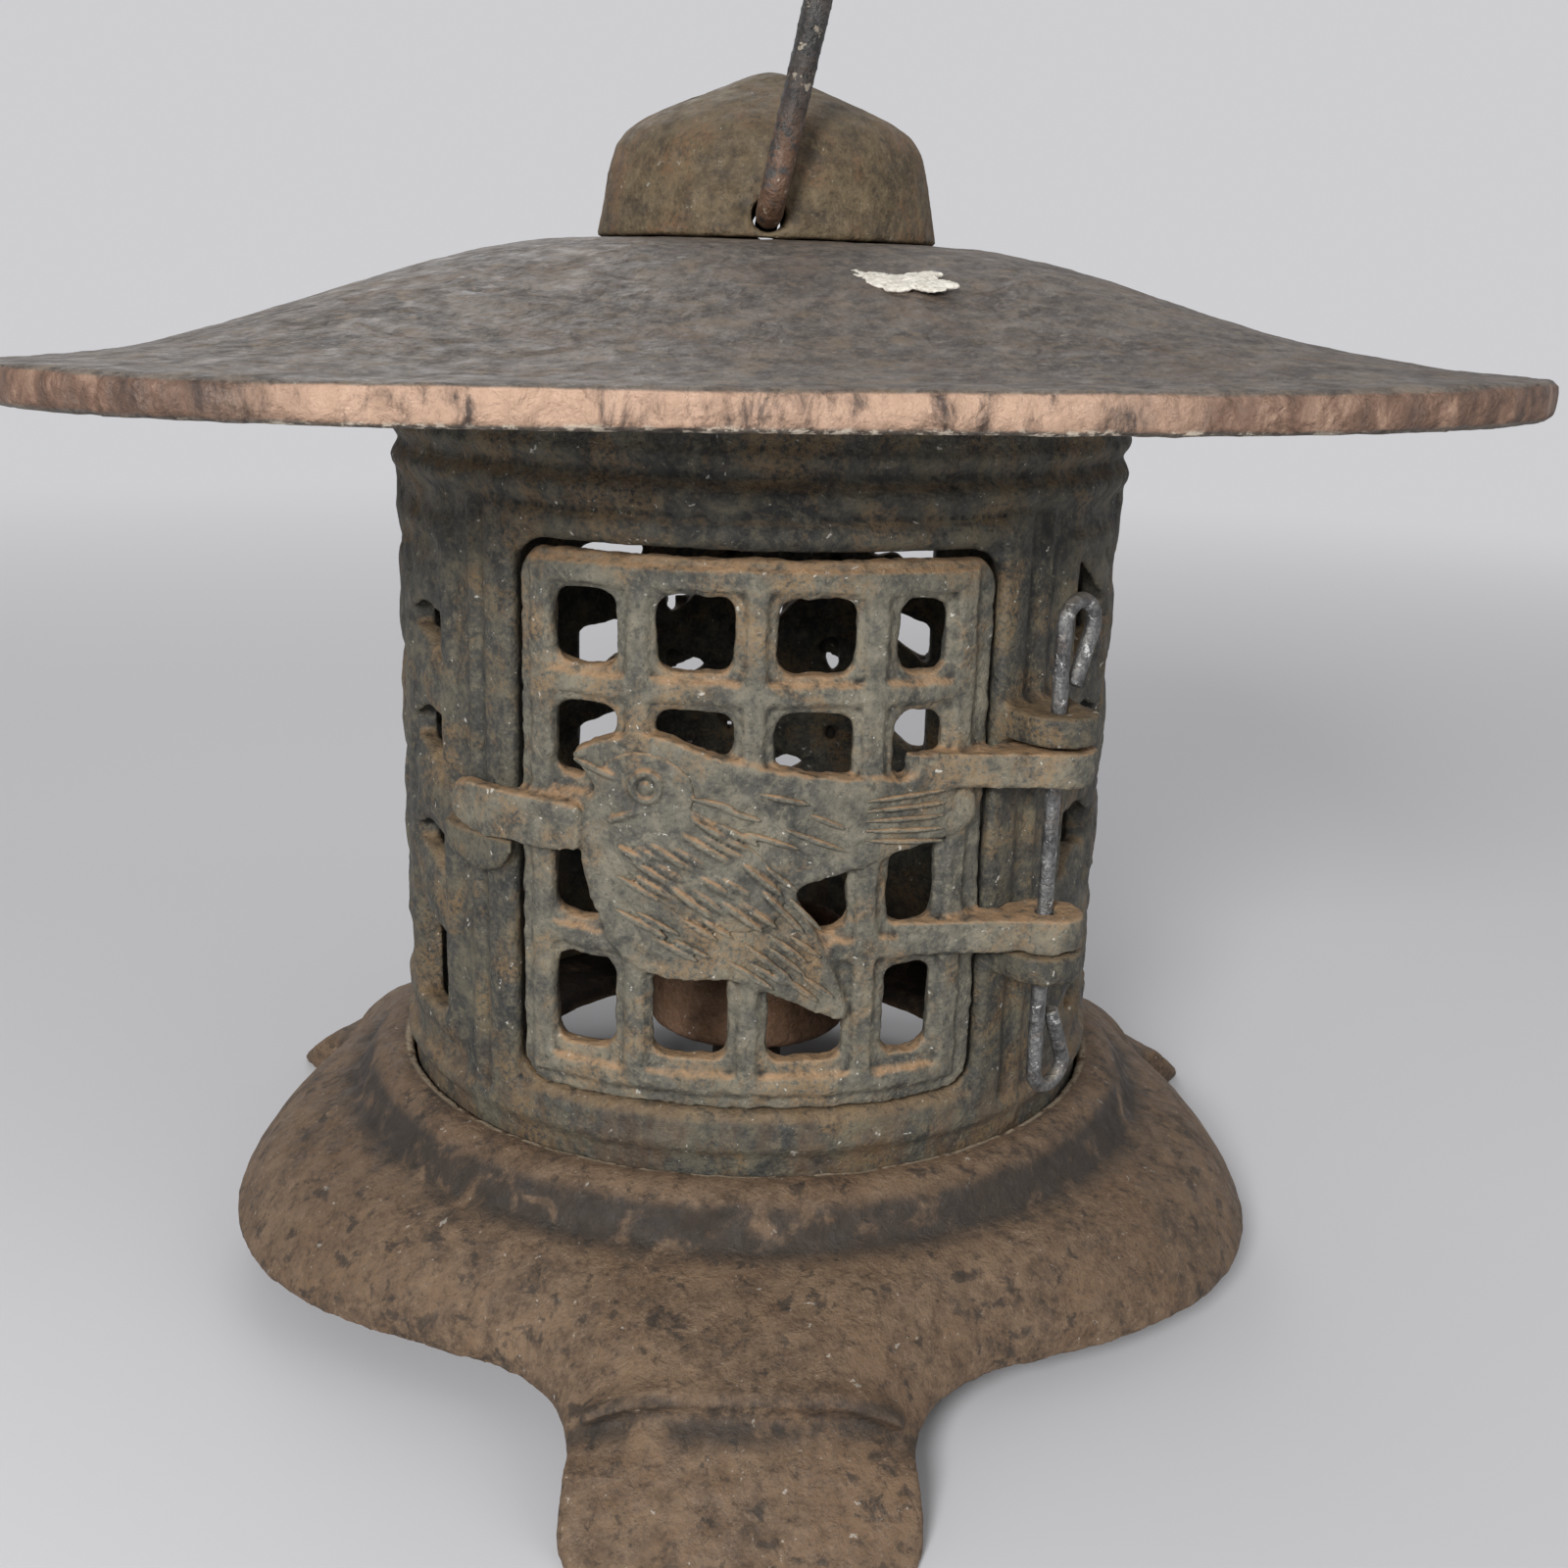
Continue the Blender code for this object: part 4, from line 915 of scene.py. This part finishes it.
@dataclass
class BodyShell:
    """Pierced cylinder with frames, bamboo joints and leaves; lengths in mm, slants in degrees."""

    grain: Grain = Grain(0.95, 2, 7.0, 0.5, 2.2, 0.22, 0.62)
    radius: float = 70.0
    stalks: tuple[Pair, ...] = ((-23.5, 6.0), (0.6, 7.0), (24.0, 5.6))
    window_low: float = 57.0
    window_high: float = 148.0
    window_half: float = 41.0
    leaf_length: float = 27.0
    leaf_rows: int = 4
    leaf_pitch: float = 21.0
    leaf_first: float = 18.0
    leaf_side: float = 5.0
    leaf_shift: float = 3.0
    slant: float = -30.0
    slant_step: float = -6.0
    leaf_parts: tuple[tuple[float, ...], ...] = (
        (1.0, 0.0, 1.0, 0.86, 1.8, 1.0), (1.0, 0.0, 1.0, 0.8, 6.4, 0.6),
        (0.8, 6.0, -1.0, 0.84, 7.0, 1.1))
    edge: float = 3.4
    edge_gap: float = 0.6
    edge_rise: float = 1.0
    joint: Place = (2.2, 2.4, 1.3)
    joint_rows: int = 6
    joint_first: float = 4.0
    joint_pitch: float = 16.5
    joint_skew: float = 0.4
    spine_half: float = 0.35
    spine_rise: float = 0.8
    frame_posts: tuple[Pair, ...] = ((-47.6, -43.0), (42.2, 46.6))
    frame_rows: tuple[Place, ...] = ((47.6, 50.2, 1.3), (152.8, 155.6, 1.2))
    frame_span: Pair = (48.4, 157.0)
    frame_rise: float = 1.5
    band_rows: tuple[Place, ...] = ((70.4, 166.4, 1.7), (70.2, 160.2, 1.9), (69.9, 45.6, 1.8))

    def front_frame(self) -> Piece:
        """Narrow raised frame round the door.

        Returns:
            The frame.
        """
        work = WallWork(self.radius)
        for left, right in self.frame_posts:
            work.strip(left, right, *self.frame_span, self.frame_rise)
        for low, high, rise in self.frame_rows:
            work.strip(self.frame_posts[0][0], self.frame_posts[-1][1], low, high, rise)
        return work.laid()

    def bands(self) -> list[Piece]:
        """Rounded bands round the wall, above and below the door.

        Returns:
            One ring for each band.
        """
        rings = []
        for reach, height, thick in self.band_rows:
            clear_selection()
            bpy.ops.mesh.primitive_torus_add(major_radius=reach * MM, minor_radius=thick * MM,
                                             major_segments=128, minor_segments=12)
            ring = newest("wall_band")
            ring.location = lantern_axis() + Vector((0.0, 0.0, height * MM))
            settle(ring)
            rings.append(ring)
        return rings

    def leaves(self, work: WallWork) -> None:
        """Rib, blade and shoot of each leaf.

        A part's row holds its reach, lift, way of turning, length, width and rise.

        Args:
            work: The raised work of one window.
        """
        half = 0.5 * self.leaf_length
        for place, (root_x, _) in enumerate(self.stalks):
            for row in range(self.leaf_rows):
                slant = self.slant + self.slant_step * ((row + place) % 2)
                for side in (-1.0, 1.0):
                    root_z = (self.window_low + self.leaf_first + self.leaf_pitch * row
                              + self.leaf_side * side + self.leaf_shift * place)
                    for reach, lift, way, share, width, rise in self.leaf_parts:
                        turn = math.radians(way * slant)
                        centre = (root_x + side * reach * half * math.cos(turn),
                                  root_z + lift + reach * half * math.sin(turn))
                        work.bead(centre, share * self.leaf_length, width, rise, side * way * slant)

    def window_work(self, azimuth: float) -> Piece:
        """Frame, bamboo joints and leaves of one window.

        Args:
            azimuth: The window's side in degrees.

        Returns:
            The raised work, in place.
        """
        work = WallWork(self.radius)
        half, low, high = self.window_half, self.window_low, self.window_high
        wide = self.edge - self.edge_gap
        for left in (-half - self.edge, half + self.edge_gap):
            work.strip(left, left + wide, low - self.edge, high + self.edge, self.edge_rise)
        for start in (low - self.edge, high + self.edge_gap):
            work.strip(-half - self.edge, half + self.edge, start, start + wide, self.edge_rise)
        over, tall, rise = self.joint
        for centre, width in self.stalks:
            for row in range(self.joint_rows):
                height = low + self.joint_first + self.joint_pitch * row + self.joint_skew * centre
                if low < height < high:
                    work.bead((centre, height), width + over, tall, rise, 0.0)
            spine = self.spine_half * width
            work.strip(centre - spine, centre + spine, low, high, self.spine_rise)
        self.leaves(work)
        return work.laid(azimuth)

    def build(self) -> None:
        """Cast and dress the body."""
        pieces = [blank_of("body", "body_shell"), self.front_frame(), *self.bands()]
        for azimuth in (90.0, 180.0, 270.0):
            pieces.append(self.window_work(azimuth))
        piece = self.grain.cast(join_all(pieces))
        dress(piece, BODY_IRON, "body_iron", "lantern", "body")


@dataclass
class LatticeDoor:
    """Hinged lattice door with a feathered sparrow; places in mm, seen from the front."""

    grain: Grain = Grain(0.62, 5, 4.4, 1.15, 1.6, 0.3)
    feather_grain: Grain = Grain(0.34, 2, 3.0, 0.25, 1.0, 0.1)
    wall_radius: float = 71.0
    bird_radius: float = 73.2
    eye: Pair = (-18.6, 111.7)
    bar_half: float = 1.7
    bar_rise: float = 1.3
    bar_span: Pair = (56.0, 148.0)
    rail_span: Pair = (-38.0, 37.0)
    latch_ramp: Ridge = ((-33.0, 103.0), 16.0, 9.0, 3.0, 0.0, 0.0)
    swells: tuple[Ridge, ...] = (
        ((-10.0, 98.0), 34.0, 18.0, 1.0, -30.0, 0.0), ((-18.6, 111.0), 17.0, 13.0, 1.0, -8.0, 0.0))
    beak_lines: tuple[Ridge, ...] = (
        ((-27.2, 113.9), 8.5, 1.6, 0.9, -19.0, 0.7), ((-22.4, 106.2), 7.0, 1.1, 0.7, 24.0, 0.7))
    uprights: tuple[float, ...] = (-37.2, -20.4, -0.6, 19.6, 35.2)
    rails: tuple[float, ...] = (57.6, 82.6, 107.0, 127.8, 146.6)
    wing: tuple[Stroke, ...] = (
        (-8.3, 101.7, 8.6, -28.0), (-6.0, 104.2, 9.7, -28.0), (-17.6, 96.8, 7.1, -28.0),
        (-19.9, 93.8, 8.2, -27.0), (-6.3, 94.9, 6.6, -29.0), (-10.8, 92.1, 8.8, -35.0),
        (-19.2, 87.5, 9.7, -25.0), (-9.0, 87.2, 6.6, -29.0), (-1.9, 89.8, 8.3, -35.0),
        (5.8, 84.4, 8.6, -37.0), (2.5, 82.0, 9.9, -38.0), (8.0, 77.1, 8.7, -37.0),
        (-0.3, 79.4, 9.2, -32.0), (1.5, 96.4, 7.9, -38.0), (5.2, 90.6, 9.8, -46.0),
        (-14.0, 99.6, 8.0, -28.0), (-13.4, 83.4, 8.6, -24.0), (-20.6, 99.6, 5.6, -20.0))
    back: tuple[Stroke, ...] = (
        (-2.8, 107.9, 7.8, -16.0), (12.1, 106.6, 6.8, -23.0), (10.0, 103.4, 11.4, -21.0),
        (-7.3, 109.6, 7.1, -9.0), (2.9, 103.3, 9.9, -17.0), (4.6, 110.6, 9.0, -12.0))
    tail_rows: int = 5

    def bars(self) -> Piece:
        """Ridges along the lattice bars and the ramp of the latch ear.

        Returns:
            The ridges laid on the door.
        """
        work = WallWork(self.wall_radius)
        for across in self.uprights:
            work.strip(across - self.bar_half, across + self.bar_half, *self.bar_span, self.bar_rise)
        for height in self.rails:
            work.strip(*self.rail_span, height - self.bar_half, height + self.bar_half, self.bar_rise)
        work.bead(*self.latch_ramp)
        return work.laid()

    def plumage(self, work: WallWork) -> None:
        """Body and head swell, feathers, tail, beak and throat line.

        Args:
            work: The sparrow's raised work.
        """
        for swell in self.swells:
            work.bead(*swell)
        for across, height, length, tilt in self.wing:
            work.bead((across, height), length * 1.1, 1.3, 0.8, tilt, 1.0)
            slope = math.radians(tilt)
            beside = (across - 2.1 * math.sin(slope) + 2.0, height + 2.1 * math.cos(slope) - 1.6)
            work.bead(beside, length * 0.9, 1.1, 0.7, tilt, 0.9)
        for across, height, length, tilt in self.back:
            work.bead((across, height), length * 1.05, 1.2, 0.75, tilt, 0.6)
        for row in range(self.tail_rows):
            work.bead((25.6, 110.4 - 2.0 * row), 15.0, 0.95, 0.7, 4.0 - 2.2 * row, 0.4)
        for line in self.beak_lines:
            work.bead(*line)

    def sparrow(self) -> Piece:
        """Raised work of the sparrow.

        Returns:
            The relief laid on the door.
        """
        work = WallWork(self.bird_radius)
        self.plumage(work)
        work.ring(self.eye, 2.4, 0.62, 1.15)
        work.bead(self.eye, 1.9, 1.9, 0.8, 0.0, 0.9)
        return work.laid()

    def build(self) -> None:
        """Cast and dress the door."""
        lattice = self.grain.cast(join_all([blank_of("door", "lattice_door"), self.bars()]))
        piece = join_all([lattice, self.feather_grain.cast(self.sparrow())])
        dress(piece, DOOR_IRON, "door_iron", "door_leaf", "door")


@dataclass
class RoofCasting:
    """Flared roof with a crust of lime on its slope; lengths in mm, turns in degrees."""

    grain: Grain = Grain(1.25, 2, 8.0, 0.4, 2.6, 0.28)
    crust_grain: Grain = Grain(0.26, 0, 1.6, 0.5, 0.6, 0.45)
    crust_place: Place = (20.7, -65.6, 194.3)
    crust_turn: Place = (17.4, 0.0, -14.0)
    crust_rise: float = 0.6
    flakes: tuple[tuple[float, float, float, float, float], ...] = (
        (-5.4, 1.6, 7.0, 4.0, 20.0), (-2.2, -0.2, 8.6, 6.4, -25.0), (2.2, 1.0, 7.6, 6.4, 10.0),
        (4.6, -2.0, 8.0, 4.4, -35.0), (7.2, -1.2, 5.6, 3.0, -15.0), (0.6, -3.0, 5.6, 4.0, 30.0),
        (-7.6, 2.8, 4.4, 2.0, -30.0), (4.0, 3.4, 5.0, 2.4, 15.0))
    lean_start: float = 75.0
    lean_end: float = 121.0
    lean_rise: float = 1.8

    def crust(self) -> Piece:
        """Flaky pale crust on the front slope.

        Returns:
            The crust.
        """
        flakes = []
        for across, along, length, width, turn in self.flakes:
            clear_selection()
            bpy.ops.mesh.primitive_ico_sphere_add(subdivisions=4, radius=1.0)
            flake = newest("lime_crust")
            flake.scale = (0.5 * length * MM, 0.5 * width * MM, self.crust_rise * MM)
            flake.rotation_euler = Euler((0.0, 0.0, math.radians(turn)))
            flake.location = (across * MM, along * MM, 0.0)
            settle(flake)
            flakes.append(flake)
        patch = join_all(flakes)
        patch.rotation_euler = Euler([math.radians(value) for value in self.crust_turn])
        patch.location = lantern_axis() + Vector(self.crust_place) * MM
        settle(patch)
        return self.crust_grain.cast(patch)

    def lean(self, piece: Piece) -> None:
        """Let the rim rise a little towards the right, as the old casting does.

        Args:
            piece: The fused roof.
        """
        centre = lantern_axis()
        for vertex in piece.data.vertices:
            away = vertex.co - centre
            share = (math.hypot(away.x, away.y) / MM - self.lean_start) / (self.lean_end - self.lean_start)
            share = min(max(share, 0.0), 1.0)
            vertex.co.z += self.lean_rise * MM * share * share * away.x / (self.lean_end * MM)

    def build(self) -> None:
        """Cast and dress the roof."""
        piece = self.grain.fuse(blank_of("roof", "roof_casting"))
        self.lean(piece)
        dress(self.grain.surface(piece), ROOF_IRON, "roof_iron", "lantern", "roof")
        dress(self.crust(), LIME, "roof_iron", "lantern")


@dataclass
class PlainWork:
    """Cap, bail, hinge wire and candle cup, which have no raised work."""

    rows: tuple[tuple[str, str, Grain, IronFinish, str], ...] = (
        ("cap", "cap_finial", Grain(0.8, 3, 6.0, 0.45, 2.0, 0.2), CAP_IRON, "lantern"),
        ("bail", "bail_handle", Grain(0.5, 3, 5.0, 0.25, 1.2, 0.12), BAIL_PAINT, "bail_handle"),
        ("hinge_pin", "hinge_wire", Grain(0.34, 3, 4.0, 0.15, 1.0, 0.1), PIN_STEEL, "lantern"),
        ("candle_cup", "candle_holder", Grain(0.55, 2, 6.0, 0.3, 1.5, 0.15), CUP_IRON, "lantern"))

    def build(self) -> None:
        """Cast and dress each piece."""
        for node, name, grain, finish, body in self.rows:
            dress(grain.cast(blank_of(node, name)), finish, finish.name, body, node)


@dataclass
class Fasteners:
    """Bolts, nuts and screws that stay as the CAD solids."""

    heads: tuple[str, ...] = ("base_bolt", "base_nut", "roof_bolt", "cap_screw", "candle_screw")

    def build(self) -> None:
        """Paint the fasteners with one rusty steel."""
        steel = BOLT_STEEL.material()
        for name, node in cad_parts.items():
            if name.startswith(self.heads):
                node.data.materials.clear()
                node.data.materials.append(steel)


# Stage


@dataclass
class PhotoView:
    """Camera that stands where the photograph was taken; lengths in mm, angles in degrees."""

    sensor: float = 36.0
    frame_px: float = 1600.0
    focal_px: float = 1845.1
    eye: Place = (7.7, -363.1, 193.1)
    pitch: float = 15.4
    yaw: float = -0.2
    roll: float = 1.7
    turn: float = 1.7

    def build(self) -> None:
        """Add the camera."""
        pitch, yaw, roll = (math.radians(value) for value in (self.pitch, self.yaw, self.roll))
        ahead = Vector((math.sin(yaw) * math.cos(pitch), math.cos(yaw) * math.cos(pitch), -math.sin(pitch)))
        right = Vector((math.cos(yaw), -math.sin(yaw), 0.0))
        up = right.cross(ahead)
        across = math.cos(roll) * right + math.sin(roll) * up
        upward = -math.sin(roll) * right + math.cos(roll) * up
        turned = Matrix.Rotation(-math.radians(self.turn), 3, "Z")
        axes = Matrix((turned @ across, turned @ upward, turned @ -ahead)).transposed()
        lens = bpy.data.cameras.new("photo_view")
        lens.sensor_width = self.sensor
        lens.lens = self.sensor * self.focal_px / self.frame_px
        lens.clip_start = 0.01
        lens.clip_end = 50.0
        camera = bpy.data.objects.new("photo_view", lens)
        bpy.context.scene.collection.objects.link(camera)
        stand = turned @ Vector(self.eye) * MM + lantern_axis()
        camera.matrix_world = Matrix.Translation(stand) @ axes.to_4x4()
        bpy.context.scene.camera = camera


@dataclass
class Studio:
    """Pale floor, soft lamps and a pale surround."""

    floor_colour: Colour = (0.60, 0.60, 0.62)
    surround: Colour = (0.62, 0.62, 0.64)
    ambient: float = 0.38
    floor_size: float = 12.0
    aim: Place = (0.0, 0.0, 0.12)
    blend_near: float = 0.45
    blend_far: float = 1.5
    lamps: tuple[tuple[str, Place, float, float], ...] = (
        ("key_lamp", (-0.24, -0.90, 0.50), 0.24, 10.0),
        ("fill_lamp", (0.9, -0.6, 0.8), 0.9, 2.5),
        ("back_lamp", (-0.3, 1.1, 1.0), 0.9, 4.0))

    def floor(self) -> None:
        """Add the floor the lantern stands on."""
        clear_selection()
        bpy.ops.mesh.primitive_plane_add(size=self.floor_size, location=(0.0, 0.0, 0.0))
        plane = newest("studio_floor")
        sketch = NodeSketch("studio_floor")
        sketch.feed(self.floor_colour, sketch.shader.inputs["Base Color"])
        sketch.shader.inputs["Roughness"].default_value = 0.9
        reach = sketch.vector("LENGTH", sketch.place).outputs["Value"]
        far = sketch.both(sketch.window(reach, self.blend_near, self.blend_far), sketch.seen())
        glow = sketch.add("ShaderNodeEmission", ("Color", (*self.surround, 1.0)))
        out = sketch.tree.nodes["Material Output"].inputs["Surface"]
        sketch.choose(far, sketch.shader.outputs[0], glow.outputs[0], out)
        plane.data.materials.append(sketch.material)

    def hang_lamps(self) -> None:
        """Add the soft lamps, each pointed at the lantern."""
        for name, place, size, power in self.lamps:
            light = bpy.data.lights.new(name, "AREA")
            light.shape = "DISK"
            light.size = size
            light.energy = power
            item = bpy.data.objects.new(name, light)
            bpy.context.scene.collection.objects.link(item)
            item.location = place
            ahead = Vector(self.aim) - Vector(place)
            item.rotation_euler = ahead.to_track_quat("-Z", "Y").to_euler()

    def world(self) -> None:
        """Light the scene softly and show a pale surround."""
        world = bpy.data.worlds.new("pale_surround")
        bpy.context.scene.world = world
        world.use_nodes = True
        sheet = NodeSheet(world.node_tree)
        sheet.tree.nodes.clear()
        light = sheet.add("ShaderNodeBackground", ("Color", (1.0, 1.0, 1.0, 1.0)),
                          ("Strength", self.ambient))
        shown = sheet.add("ShaderNodeBackground", ("Color", (*self.surround, 1.0)), ("Strength", 1.0))
        out = sheet.add("ShaderNodeOutputWorld").inputs["Surface"]
        sheet.choose(sheet.seen(), light.outputs[0], shown.outputs[0], out)

    def build(self) -> None:
        """Set the stage."""
        self.floor()
        self.hang_lamps()
        self.world()
        bpy.context.scene.view_settings.view_transform = "Standard"


def main() -> None:
    """Build the stage and every sub-assembly, then note the sizes."""
    logging.basicConfig(level=logging.INFO, format="%(name)s: %(message)s")
    Studio().build()
    PhotoView().build()
    for part in (BaseCasting(), BodyShell(), LatticeDoor(), RoofCasting(), PlainWork(), Fasteners()):
        part.build()
        LOG.info("%s built", type(part).__name__)


if __name__ == "__main__":
    main()
